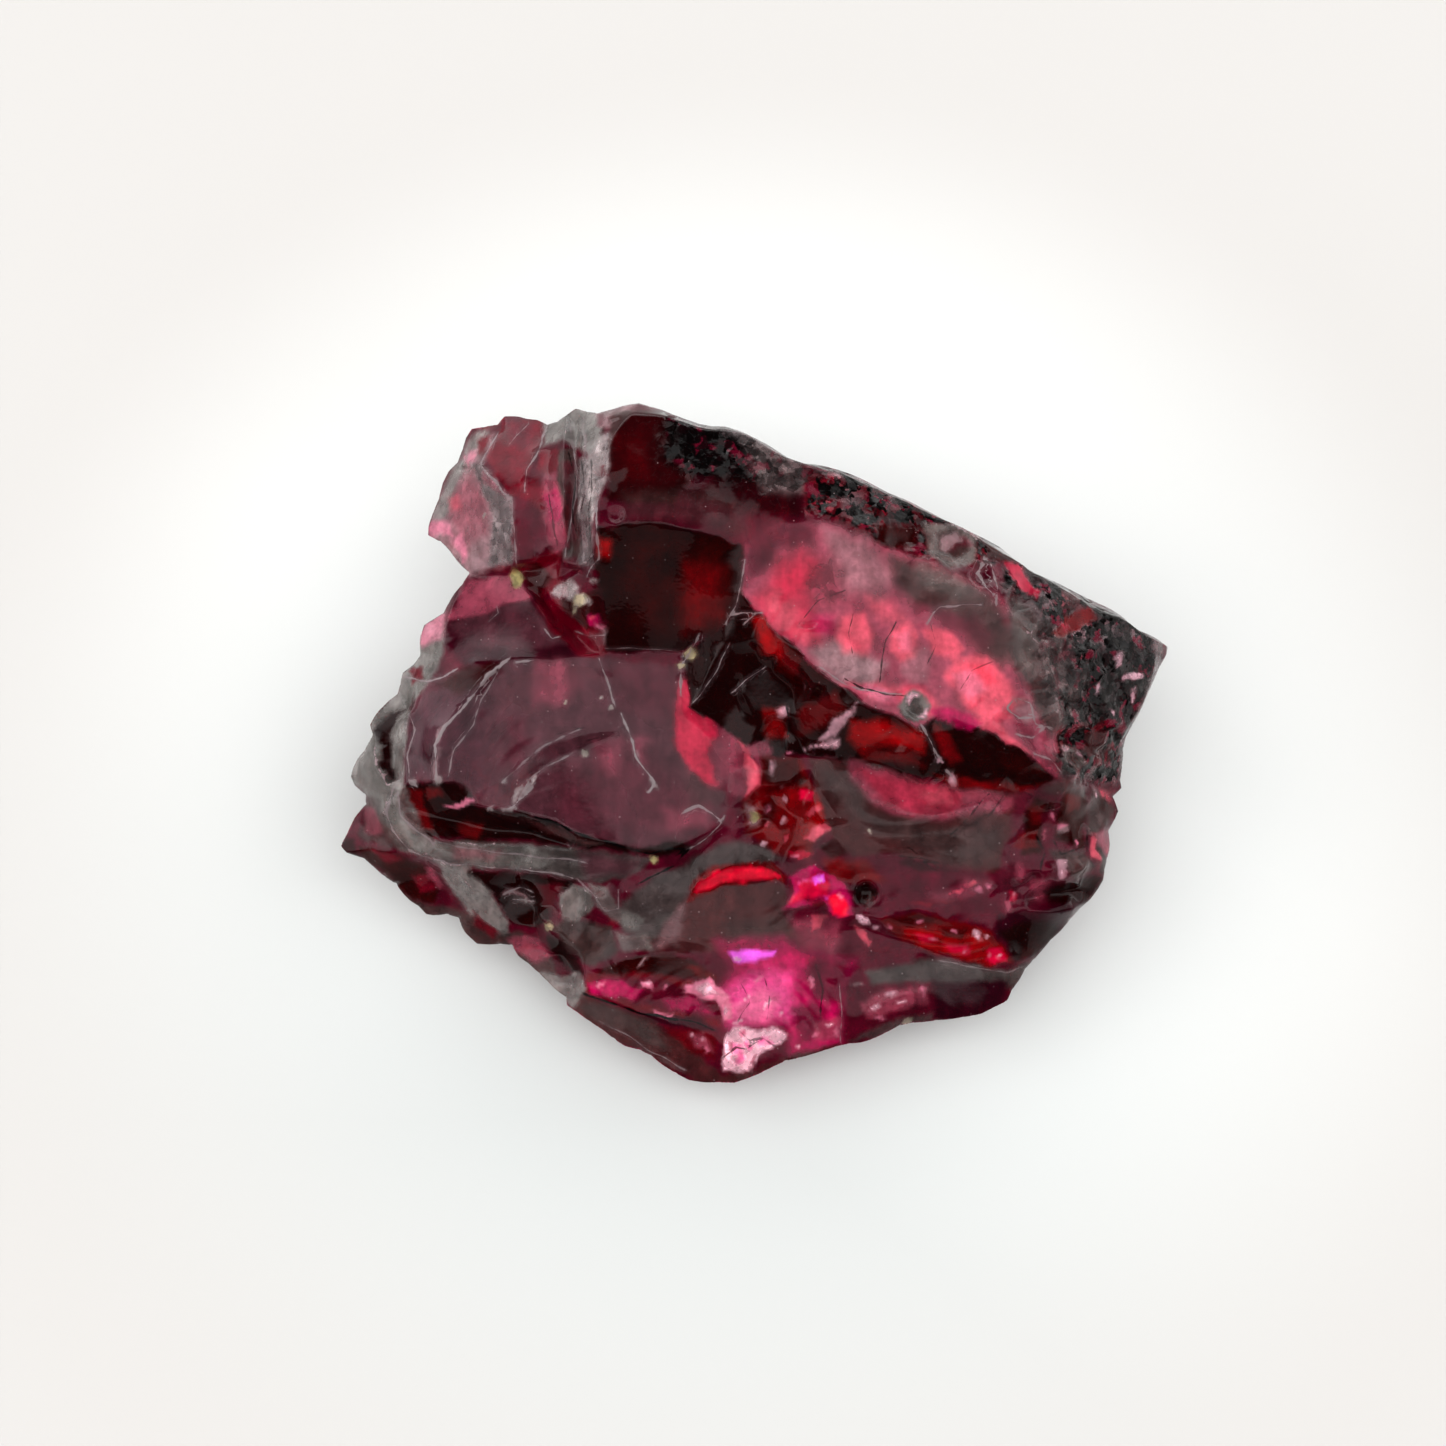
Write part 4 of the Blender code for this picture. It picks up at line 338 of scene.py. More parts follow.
    ("crimson", 0.7, 0.08, [(7.6, -1.8), (8.1, -1.8), (8.1, -2.2), (7.7, -2.3)]),
    ("crimson", 0.7, 0.06, [(7.3, -2.6), (7.9, -2.45), (7.9, -2.9), (7.2, -3.0)]),
    ("plum", 0.9, 0.06, [(8.05, -2.0), (8.3, -1.9), (8.35, -2.8), (8.15, -3.3), (8.0, -3.0)]),
    ("blood", 1.0, 0.07, [(8.6, -1.3), (9.35, -1.3), (9.5, -2.0), (9.25, -2.5), (9.3, -3.1),
        (8.7, -2.8), (8.4, -2.7), (8.4, -2.0)]),
    ("crimson", 0.6, 0.07, [(8.65, -1.5), (9.1, -1.5), (9.1, -1.9), (8.7, -1.9)]),
    ("mist_sheen", 0.8, 0.05, [(8.45, -2.25), (8.75, -2.3), (8.8, -2.5), (8.5, -2.55)]),
    ("haze_sheen", 0.9, 0.07, [(9.5, -1.4), (9.8, -1.5), (10.4, -1.9), (10.2, -2.3), (9.7, -2.6), (9.3, -2.7),
        (9.5, -2.0)]),
    ("coral", 0.7, 0.06, [(9.75, -1.3), (10.1, -1.45), (10.2, -1.75), (9.9, -1.6)]),
    ("blood", 0.9, 0.05, [(9.9, -1.6), (10.05, -1.7), (10.0, -2.0), (9.9, -1.95)]),
    ("coral", 1.0, 0.05, [(9.5, -2.65), (9.7, -2.6), (9.75, -3.0), (9.95, -3.45), (9.6, -3.3),
        (9.5, -3.0)]),
    ("rose", 1.0, 0.05, [(9.7, -2.6), (10.2, -2.5), (10.25, -3.1), (10.1, -3.3), (9.8, -2.9)]),
    ("dark", 1.0, 0.05, [(9.7, -2.85), (10.1, -3.3), (10.15, -3.7), (9.9, -3.75), (9.85, -3.4)]),
    ("haze_sheen", 0.9, 0.08, [(8.2, -3.0), (9.3, -3.1), (9.7, -3.6), (9.0, -3.85), (8.75, -3.6),
        (8.4, -3.2)]),
    ("plum", 0.9, 0.08, [(7.5, -3.3), (8.3, -3.4), (8.5, -3.9), (7.7, -3.7)]),
    ("pearl", 0.6, 0.05, [(8.5, -3.3), (8.75, -3.3), (8.7, -3.85), (8.55, -3.9), (8.5, -3.6)]),
    ("rose", 0.7, 0.06, [(7.3, -3.4), (7.5, -3.4), (7.45, -3.9), (7.3, -3.9)]),
    ("rose", 0.7, 0.1, [(7.7, -3.85), (8.3, -3.9), (8.15, -4.45), (7.9, -4.5)]),
    ("hot", 0.8, 0.05, [(7.15, -4.2), (7.35, -4.25), (7.35, -4.45), (7.15, -4.45)]),
    ("rose", 0.9, 0.05, [(6.95, -4.5), (7.2, -4.45), (7.2, -4.8), (7.05, -4.85)]),
    ("dark", 1.0, 0.1, [(8.2, -4.15), (9.2, -3.85), (10.1, -3.8), (9.4, -4.7), (8.4, -4.65)]),
    ("night", 0.95, 0.12, [(6.8, -4.9), (8.2, -4.7), (9.5, -4.6), (8.4, -6.0), (7.4, -6.1),
        (6.7, -5.3)]),
    ("dark", 1.0, 0.12, [(6.9, -5.4), (7.8, -5.0), (8.6, -5.2), (8.6, -5.7), (8.0, -6.1), (7.4, -6.2)]),
    # the rough right end
    ("crust", 1.0, 0.2, [(7.0, 5.5), (8.0, 5.0), (11.7, 2.8), (11.2, 1.2), (10.4, -1.2), (9.3, -1.1),
        (8.4, -0.9), (8.5, 0.6), (8.6, 2.2), (7.6, 3.9), (6.8, 4.2)]),
    ("soot", 0.85, 0.3, [(9.2, 2.6), (10.4, 2.9), (11.5, 2.6), (11.1, 1.2), (10.5, -0.4), (9.7, -0.3),
        (9.1, 0.5), (9.0, 1.6)]),
    ("soot", 0.7, 0.15, [(7.6, 5.1), (9.0, 4.4), (10.4, 3.6), (10.2, 3.3), (8.8, 3.9), (7.7, 4.6)]),
    ("ash", 0.9, 0.2, [(7.7, 3.4), (8.7, 3.1), (9.1, 2.2), (9.0, 0.9), (8.4, 0.5), (8.0, 1.2),
        (7.6, 2.4)]),
    ("soot", 0.9, 0.06, [(8.9, 2.2), (9.15, 2.3), (9.2, 1.9), (9.0, 1.8)]),
    ("soot", 0.9, 0.06, [(9.2, 2.8), (9.5, 2.75), (9.45, 2.5), (9.2, 2.6)]),
    ("soot", 0.9, 0.06, [(8.4, 1.5), (8.6, 1.6), (8.7, 1.0), (8.5, 0.9)]),
    ("clot", 0.6, 0.2, [(8.2, 4.3), (9.0, 4.2), (9.8, 3.9), (9.2, 3.6), (8.3, 3.6)]),
    ("crimson", 1.0, 0.07, [(8.2, 3.0), (8.6, 3.5), (9.4, 3.75), (9.6, 3.5), (9.0, 3.2), (8.5, 2.9)]),
    ("ember", 0.8, 0.06, [(8.4, 3.3), (8.75, 3.3), (8.6, 3.05)]),
    ("ember", 1.0, 0.06, [(6.9, 5.05), (7.25, 5.0), (7.9, 4.2), (7.7, 3.95), (7.2, 4.35)]),
    ("blood", 1.0, 0.08, [(6.3, 5.6), (7.1, 5.5), (7.4, 5.1), (7.0, 5.0), (6.5, 5.1)]),
    ("clot", 0.9, 0.15, [(8.4, 0.4), (10.2, 0.6), (10.2, -0.6), (9.0, -0.9), (8.2, -0.6)]),
    ("blood", 0.8, 0.1, [(9.2, 0.3), (9.9, 0.3), (9.8, -0.4), (9.2, -0.3)]),
    ("pane_sheen", 0.9, 0.06, [(8.5, -0.1), (9.0, -0.2), (9.35, -0.6), (8.9, -0.7), (8.5, -0.5)]),
    ("blood", 0.8, 0.05, [(8.7, -0.25), (8.95, -0.3), (9.1, -0.55), (8.85, -0.55)]),
    ("pearl", 0.8, 0.04, [(10.1, 2.5), (10.3, 2.6), (10.35, 2.2), (10.15, 2.1)]),
    ("pearl", 0.8, 0.04, [(10.3, 1.9), (11.0, 1.97), (11.0, 1.78), (10.3, 1.72)]),
    ("pearl", 0.6, 0.04, [(10.6, 1.5), (10.8, 1.6), (10.72, 1.1), (10.6, 1.1)]),
    ("pearl", 0.5, 0.04, [(9.9, 0.95), (10.1, 0.9), (10.05, 0.65)]),
    ("pearl", 0.4, 0.04, [(9.5, 1.6), (9.65, 1.75), (9.6, 1.3), (9.5, 1.3)]),
    ("frost_and_sheen", 0.9, 0.08, [(11.3, 3.0), (11.8, 2.7), (11.2, 1.0), (10.6, -0.8), (10.4, -0.9),
        (10.8, 0.7), (11.4, 2.3)]),
    # the fan, its crescent and the bright star beside it, with painted glows and painted highlights
    ("slate", 1.0, 0.08, [(-1.9, -4.2), (-1.0, -4.0), (0.8, -4.0), (0.8, -4.9), (1.2, -5.5),
        (-0.5, -5.9), (-2.7, -5.9), (-3.3, -5.9), (-2.6, -4.9)]),
    ("haze_sheen", 0.6, 0.3, [(-0.9, -5.2), (0.8, -4.9), (1.3, -5.8), (-0.8, -5.8)]),
    ("mist_sheen", 0.4, 0.15, [(-2.5, -5.0), (-1.9, -4.3), (-2.2, -5.6), (-3.0, -5.9)]),
    ("smoke_sheen", 0.9, 0.1, [(-3.8, -4.5), (-2.9, -3.8), (-2.0, -3.4), (-0.8, -2.8), (0.2, -2.9),
        (0.8, -3.4), (-0.4, -3.4), (-1.4, -3.6), (-1.9, -4.2), (-2.9, -5.6), (-3.8, -5.3)]),
    ("crimson", 1.0, 0.04, [(-1.95, -4.5), (-1.75, -3.85), (-1.1, -3.45), (-0.5, -3.4), (0.3, -3.35),
        (0.85, -3.75), (0.8, -3.95), (0.0, -3.96), (-1.0, -4.1)]),
    ("flame", 1.0, 0.04, [(-1.8, -4.3), (-1.6, -3.95), (-1.1, -3.62), (-0.5, -3.55), (0.2, -3.5),
        (0.7, -3.78), (0.6, -3.88), (0.0, -3.9), (-1.0, -4.0)]),
    ("crimson", 1.0, 0.12, [(1.9, -3.3), (3.1, -3.3), (3.6, -3.9), (3.0, -4.0), (2.2, -3.9)]),
    ("magenta", 0.9, 0.06, [(0.9, -3.75), (1.6, -3.45), (2.2, -3.7), (2.65, -4.3), (2.7, -4.9),
        (2.1, -4.9), (1.9, -4.5), (0.7, -4.75), (1.1, -4.3)]),
    ("hot", 1.0, 0.05, [(1.1, -3.95), (1.7, -3.7), (2.1, -3.9), (2.1, -4.3), (1.7, -4.35), (0.85, -4.6),
        (1.3, -4.2)]),
    ("flame", 1.0, 0.05, [(2.05, -4.3), (2.4, -4.25), (2.6, -4.6), (2.55, -4.85), (2.15, -4.85)]),
    ("coral", 0.8, 0.04, [(0.85, -4.55), (1.05, -4.45), (1.2, -4.3), (1.0, -4.45)]),
    ("crimson", 0.6, 0.05, [(1.3, -4.4), (1.8, -4.35), (2.0, -4.6), (1.6, -4.65)]),
    ("violet", 1.0, 0.05, [(1.55, -3.8), (1.9, -3.68), (1.95, -3.9), (1.65, -3.98)]),
    ("violet", 0.5, 0.04, [(2.0, -4.3), (2.1, -4.28), (2.1, -4.42), (2.02, -4.42)]),
    ("dark", 1.0, 0.06, [(2.7, -4.1), (3.1, -3.95), (3.5, -4.3), (3.1, -4.6), (2.75, -4.5)]),
    ("haze_sheen", 0.6, 0.04, [(3.0, -4.5), (3.4, -4.35), (3.4, -4.65), (3.1, -4.7)]),
    ("pearl", 1.0, 0.04, [(2.85, -4.93), (3.05, -4.9), (3.22, -5.0), (3.2, -5.14), (2.9, -5.1)]),
    ("pearl", 0.8, 0.04, [(3.25, -5.15), (3.5, -5.2), (3.45, -5.35), (3.3, -5.3)]),
    ("rose", 0.5, 0.15, [(1.0, -5.0), (2.3, -4.95), (2.6, -5.5), (2.2, -6.0), (1.1, -5.7)]),
    ("plum", 0.9, 0.15, [(2.4, -5.1), (3.9, -5.4), (3.6, -6.3), (2.2, -6.1)]),
    ("coral", 0.6, 0.05, [(2.75, -5.2), (3.0, -5.25), (3.3, -5.7), (3.2, -5.8), (2.9, -5.5)]),
    ("coral", 0.5, 0.05, [(1.6, -4.95), (2.0, -4.95), (1.9, -5.2), (1.6, -5.35)]),
    # the band with a painted glow, and the lip in front of it with painted grey reflections
    ("crimson", 1.0, 0.06, [(3.4, -5.0), (4.4, -4.8), (5.4, -5.0), (6.6, -5.3), (7.35, -6.2),
        (6.6, -6.4), (5.2, -6.0), (4.2, -5.7)]),
    ("blood", 0.7, 0.1, [(3.6, -5.0), (4.6, -4.85), (5.2, -5.1), (4.4, -5.2)]),
    ("scarlet", 0.8, 0.08, [(4.1, -5.25), (5.2, -5.3), (6.6, -5.5), (7.2, -6.1), (6.4, -6.3),
        (5.1, -5.95), (4.3, -5.65)]),
    ("hot", 0.7, 0.06, [(4.5, -5.4), (5.0, -5.45), (5.1, -5.7), (4.6, -5.65)]),
    ("hot", 0.8, 0.06, [(5.3, -5.75), (6.0, -5.75), (6.1, -6.05), (5.5, -6.0)]),
    ("hot", 1.0, 0.05, [(6.5, -5.9), (6.9, -5.85), (7.2, -6.2), (6.8, -6.3), (6.5, -6.15)]),
    ("blood", 0.6, 0.06, [(5.2, -5.2), (6.0, -5.3), (5.9, -5.55), (5.3, -5.45)]),
    ("pearl", 0.9, 0.04, [(6.15, -5.3), (6.3, -5.3), (6.4, -5.55), (6.25, -5.6)]),
    ("smoke_sheen", 1.0, 0.1, [(3.1, -6.5), (5.0, -6.1), (7.2, -6.5), (8.0, -6.2), (7.4, -7.0), (5.0, -6.8),
        (3.3, -6.9)]),
    ("night", 1.0, 0.12, [(5.0, -6.75), (7.2, -6.8), (7.1, -7.5), (6.4, -7.8), (5.1, -7.95)]),
    ("plum", 0.9, 0.12, [(2.5, -7.0), (4.0, -6.9), (5.0, -6.9), (5.1, -7.5), (4.2, -7.9), (2.6, -8.5)]),
    ("rose", 0.8, 0.1, [(3.0, -7.4), (3.7, -7.05), (4.8, -7.0), (4.9, -7.4), (4.0, -7.6), (3.2, -7.8)]),
    ("night", 0.5, 0.04, [(4.45, -6.95), (4.6, -6.95), (4.6, -7.6), (4.45, -7.6)]),
    ("smoke_sheen", 0.7, 0.08, [(2.6, -8.5), (3.8, -7.95), (5.0, -7.65), (5.0, -8.0), (3.6, -8.4)]),
    # the clear lobe, with a painted magenta glow and painted highlights
    ("magenta", 0.9, 0.25, [(-0.9, -7.0), (-0.5, -6.2), (1.2, -5.9), (2.8, -6.2), (2.4, -7.2),
        (2.4, -8.6), (1.0, -8.9), (0.8, -8.0), (-0.8, -8.0)]),
    ("orchid", 0.9, 0.35, [(-0.9, -7.1), (0.0, -6.5), (0.9, -6.6), (1.1, -7.8), (-0.6, -8.0)]),
    ("blush", 0.5, 0.2, [(-0.7, -7.4), (0.2, -6.9), (0.7, -7.3), (0.4, -7.9), (-0.5, -7.9)]),
    ("plum", 0.9, 0.2, [(1.5, -6.1), (2.7, -6.1), (2.4, -7.4), (1.7, -7.3), (1.4, -6.7)]),
    ("plum", 0.7, 0.15, [(1.1, -7.5), (2.0, -7.4), (1.9, -8.3), (1.2, -8.7)]),
    ("rose", 0.7, 0.1, [(1.6, -8.0), (2.4, -7.8), (2.4, -8.4), (1.7, -8.5)]),
    ("magenta", 0.6, 0.2, [(-1.2, -5.6), (0.8, -5.5), (1.4, -6.1), (-0.6, -6.5)]),
    ("violet", 1.0, 0.06, [(-0.8, -6.0), (-0.4, -5.9), (0.6, -5.92), (0.5, -6.1), (0.0, -6.25),
        (-0.6, -6.2)]),
    ("crimson", 0.7, 0.1, [(-4.8, -6.6), (-3.0, -6.4), (-1.2, -6.9), (-1.0, -8.0), (-1.6, -8.0),
        (-3.0, -7.7), (-4.9, -7.1)]),
    ("plum", 0.9, 0.1, [(-4.6, -6.7), (-3.0, -6.6), (-1.2, -7.1), (-1.0, -7.9), (-3.0, -7.5),
        (-4.7, -7.1)]),
    ("magenta", 0.9, 0.1, [(-4.8, -6.85), (-3.8, -6.75), (-3.2, -7.0), (-3.5, -7.25), (-4.7, -7.1)]),
    ("magenta", 0.6, 0.1, [(-2.6, -7.25), (-1.6, -7.2), (-1.2, -7.7), (-2.4, -7.55)]),
    ("blush", 1.0, 0.05, [(-2.1, -6.85), (-1.3, -6.7), (-0.8, -7.15), (-0.6, -7.8), (-0.9, -7.85),
        (-1.1, -7.3), (-2.0, -7.1)]),
    ("pearl", 0.9, 0.05, [(-1.9, -6.95), (-1.35, -6.85), (-1.05, -7.15), (-1.5, -7.1)]),
    ("blush", 0.8, 0.05, [(-3.3, -6.7), (-2.9, -6.8), (-2.9, -6.95), (-3.2, -6.9)]),
    ("blood", 1.0, 0.08, [(-4.0, -6.2), (-2.6, -5.9), (-1.8, -6.1), (-1.1, -6.7), (-2.2, -6.6),
        (-3.3, -6.5), (-4.6, -6.65)]),
    ("crimson", 0.8, 0.07, [(-1.95, -6.3), (-1.6, -6.3), (-1.1, -6.7), (-1.6, -6.7)]),
    ("night", 0.9, 0.05, [(-3.2, -7.75), (-1.6, -7.75), (-1.1, -8.1), (-1.6, -8.15), (-3.0, -7.95)]),
    ("crimson", 0.7, 0.12, [(-2.6, -8.1), (-1.2, -8.2), (-1.1, -9.0), (-2.2, -8.8)]),
    ("rose", 0.9, 0.06, [(-2.0, -8.25), (-1.5, -8.3), (-1.2, -8.8), (-1.7, -8.65)]),
    ("blush", 0.7, 0.05, [(-2.9, -7.62), (-2.3, -7.7), (-2.4, -7.8), (-2.8, -7.75)]),
    ("pearl", 1.0, 0.05, [(-0.95, -8.35), (-0.6, -8.05), (0.0, -8.2), (0.5, -8.1), (0.85, -8.3),
        (0.7, -8.6), (0.2, -8.8), (-0.1, -9.2), (-0.5, -9.4), (-0.9, -9.3)]),
    ("orchid", 0.6, 0.05, [(-0.7, -8.5), (-0.3, -8.6), (-0.4, -8.9), (-0.7, -8.8)]),
    ("orchid", 0.5, 0.05, [(0.0, -8.4), (0.4, -8.35), (0.3, -8.6), (0.0, -8.6)]),
    ("slate", 1.0, 0.08, [(-5.5, -7.4), (-4.9, -7.15), (-3.0, -7.9), (-1.9, -8.7), (-0.9, -9.45),
        (0.0, -9.3), (1.0, -8.9), (2.4, -8.6), (2.3, -8.9), (0.9, -9.1), (-0.4, -9.7), (-1.3, -9.8),
        (-3.0, -9.0), (-5.0, -8.1)]),
    ("smoke_sheen", 0.6, 0.1, [(-5.1, -7.5), (-4.4, -7.4), (-2.8, -8.1), (-2.6, -8.7), (-4.6, -8.0)]),
    # the trough and the hollow beside the shelf, painted dark as shade, and the shelf and the left rim
    # with painted grey reflections
    ("dark", 1.0, 0.05, [(-10.0, -1.2), (-8.8, -1.1), (-8.1, -1.25), (-7.9, -1.8), (-6.5, -2.0),
        (-5.4, -2.4), (-4.4, -2.75), (-3.4, -2.95), (-2.1, -2.75), (-1.8, -2.95), (-2.6, -3.2),
        (-4.2, -3.0), (-5.2, -2.9), (-6.5, -2.75), (-8.0, -2.8), (-9.4, -2.65)]),
    ("slate", 0.9, 0.04, [(-6.6, -2.15), (-5.6, -2.42), (-4.5, -2.85), (-5.0, -2.78), (-5.9, -2.55)]),
    ("crimson", 0.9, 0.07, [(-9.9, -1.3), (-9.5, -1.4), (-9.3, -2.2), (-9.1, -2.5), (-9.6, -2.4)]),
    ("crimson", 0.8, 0.06, [(-9.4, -1.3), (-8.9, -1.25), (-8.8, -1.5), (-9.3, -1.6)]),
    ("crimson", 0.7, 0.08, [(-8.5, -2.3), (-7.7, -2.3), (-7.9, -2.7), (-8.4, -2.65)]),
    ("blush", 1.0, 0.04, [(-9.1, -1.93), (-8.6, -1.8), (-8.2, -1.6), (-7.95, -1.68), (-8.4, -1.86)]),
    ("smoke_sheen", 1.0, 0.06, [(-9.4, -2.8), (-8.0, -2.85), (-6.0, -2.85), (-4.8, -3.0), (-2.9, -3.25),
        (-3.5, -3.7), (-4.4, -4.0), (-5.2, -3.9), (-6.2, -3.7), (-8.0, -3.58), (-9.2, -3.45)]),
    ("pane_sheen", 0.7, 0.1, [(-9.4, -2.9), (-8.0, -2.9), (-6.3, -3.0), (-5.6, -3.3), (-6.2, -3.6),
        (-8.2, -3.5)]),
    ("wine", 0.8, 0.2, [(-5.0, -3.05), (-3.2, -3.3), (-3.6, -3.7), (-4.8, -3.85)]),
    ("rose", 0.35, 0.15, [(-8.6, -3.0), (-7.2, -3.1), (-7.4, -3.3), (-8.6, -3.3)]),
    ("pane_sheen", 1.0, 0.08, [(-11.2, 0.7), (-10.2, 2.2), (-9.7, 3.5), (-9.0, 3.8), (-8.9, 2.6), (-9.4, 1.6),
        (-10.0, 1.0), (-10.1, -0.9), (-9.5, -2.6), (-9.1, -3.3), (-10.2, -3.1), (-10.7, -2.4),
        (-11.1, -1.6), (-11.9, -1.1), (-11.1, 0.2)]),
    ("glass_sheen", 1.0, 0.06, [(-10.5, 3.0), (-9.2, 2.4), (-9.4, 2.0), (-9.9, 1.8), (-10.1, 1.2),
        (-10.9, 0.8), (-11.1, 0.1), (-11.3, -0.8), (-12.0, -1.0), (-12.0, 1.0)]),
    ("glass_sheen", 0.8, 0.06, [(-10.1, 0.9), (-9.9, 0.9), (-10.0, 0.0), (-10.0, -1.1), (-9.9, -1.9),
        (-9.5, -2.5), (-9.0, -2.9), (-9.3, -3.2), (-9.8, -3.0), (-10.2, -2.3), (-10.2, -1.4),
        (-10.4, -0.9), (-10.4, 0.0)]),
    ("slate", 0.7, 0.06, [(-10.0, -1.2), (-9.85, -2.0), (-9.4, -2.6), (-9.9, -2.4), (-10.2, -1.7)]),
    ("haze_sheen", 0.8, 0.08, [(-11.3, -1.5), (-10.7, -1.7), (-10.5, -2.4), (-9.8, -3.1), (-10.8, -3.0),
        (-11.5, -2.7), (-11.2, -2.0)]),
    ("rose", 0.5, 0.06, [(-11.3, -1.9), (-10.9, -1.9), (-10.7, -2.7), (-11.3, -2.6)]),
    ("blush", 0.6, 0.12, [(-9.9, 3.1), (-9.3, 3.8), (-8.95, 3.7), (-9.0, 3.0), (-9.6, 2.7)]),
    ("dark", 1.0, 0.05, [(-11.05, 0.35), (-10.6, 0.8), (-10.05, 1.05), (-10.4, 0.7), (-10.5, 0.2),
        (-10.4, -1.05), (-10.75, -0.7), (-10.8, -0.1)]),
    ("claret", 1.0, 0.05, [(-10.0, 2.1), (-9.55, 2.2), (-9.5, 1.85), (-9.9, 1.65)]),
    ("dark", 0.9, 0.06, [(-12.0, -2.8), (-11.6, -2.8), (-11.4, -3.3), (-12.0, -3.5)]),
    ("blood", 1.0, 0.07, [(-11.4, -3.0), (-10.6, -3.1), (-9.5, -3.5), (-9.0, -4.1), (-9.2, -4.6),
        (-9.9, -4.6), (-10.6, -3.9), (-11.4, -3.4)]),
    ("claret", 0.9, 0.06, [(-11.2, -3.1), (-10.5, -3.15), (-10.0, -3.4), (-10.6, -3.45)]),
    ("claret", 0.9, 0.07, [(-9.9, -3.9), (-9.4, -3.8), (-9.2, -4.3), (-9.7, -4.4)]),
    ("rose", 0.8, 0.05, [(-9.5, -3.55), (-9.3, -3.6), (-9.0, -4.2), (-9.1, -4.3), (-9.4, -3.9)]),
    ("haze_sheen", 0.9, 0.08, [(-10.7, -3.8), (-9.9, -4.6), (-9.0, -4.7), (-8.7, -5.2), (-10.4, -5.0),
        (-11.0, -4.2)]),
    ("glass_sheen", 0.9, 0.06, [(-9.1, -3.4), (-8.2, -3.5), (-7.6, -4.1), (-7.05, -5.2), (-7.2, -5.6),
        (-8.2, -5.0), (-8.8, -4.2)]),
    ("haze_sheen", 0.9, 0.08, [(-9.0, -4.7), (-8.3, -4.9), (-7.4, -5.5), (-6.8, -5.4), (-5.9, -6.2),
        (-5.4, -7.2), (-6.2, -6.8), (-7.1, -6.2), (-8.3, -6.0)]),
    ("claret", 0.8, 0.06, [(-8.1, -4.9), (-7.4, -5.5), (-7.5, -5.7), (-8.1, -5.3)]),
    ("rose", 0.7, 0.07, [(-7.2, -5.6), (-6.2, -5.6), (-5.9, -6.2), (-6.3, -6.4), (-7.0, -6.0)]),
    ("dark", 1.0, 0.06, [(-8.2, -3.65), (-6.2, -3.75), (-5.0, -3.95), (-5.7, -4.4), (-5.9, -5.1),
        (-6.4, -5.3), (-7.0, -5.2), (-7.4, -4.4)]),
    ("claret", 0.6, 0.08, [(-6.2, -4.0), (-5.5, -4.0), (-5.8, -4.8), (-6.1, -4.6)]),
    ("dark", 1.0, 0.06, [(-6.0, -5.5), (-5.5, -5.6), (-4.9, -6.6), (-5.2, -6.7), (-5.9, -6.0)]),
    ("haze_sheen", 1.0, 0.06, [(-5.4, -5.0), (-4.1, -5.2), (-3.9, -5.9), (-4.6, -6.4), (-5.3, -6.0),
        (-5.8, -5.3)]),
    ("pane_sheen", 0.9, 0.05, [(-5.6, -4.4), (-5.2, -4.05), (-4.8, -4.1), (-4.55, -4.6), (-5.0, -5.1),
        (-5.5, -5.0)]),
    ("pane_sheen", 0.7, 0.05, [(-4.8, -4.0), (-4.2, -4.1), (-3.9, -4.7), (-3.2, -5.0), (-3.3, -5.3),
        (-4.1, -5.1), (-4.5, -4.6)]),
    ("pane_sheen", 0.7, 0.06, [(-4.0, -5.4), (-3.1, -5.4), (-2.9, -5.85), (-3.8, -5.9)]),
    ("claret", 0.8, 0.05, [(-4.2, -5.0), (-3.9, -5.05), (-3.9, -5.25), (-4.2, -5.2)]),
    ("glass_sheen", 0.9, 0.05, [(-6.2, -6.6), (-5.5, -6.7), (-5.0, -6.6), (-4.85, -7.1), (-5.2, -7.6),
        (-6.0, -7.4)]),
]

# Finishes of the broken faces underneath. A finish named twice is picked twice as often.
UNDERSIDE = ("plum", "garnet", "blood", "claret", "night", "crimson", "smoke_sheen", "plum", "claret", "rose")
FLAKE_BELOW, CRUST_BELOW = 1.5, 1.6  # how wide those faces and the spots of crust over them are

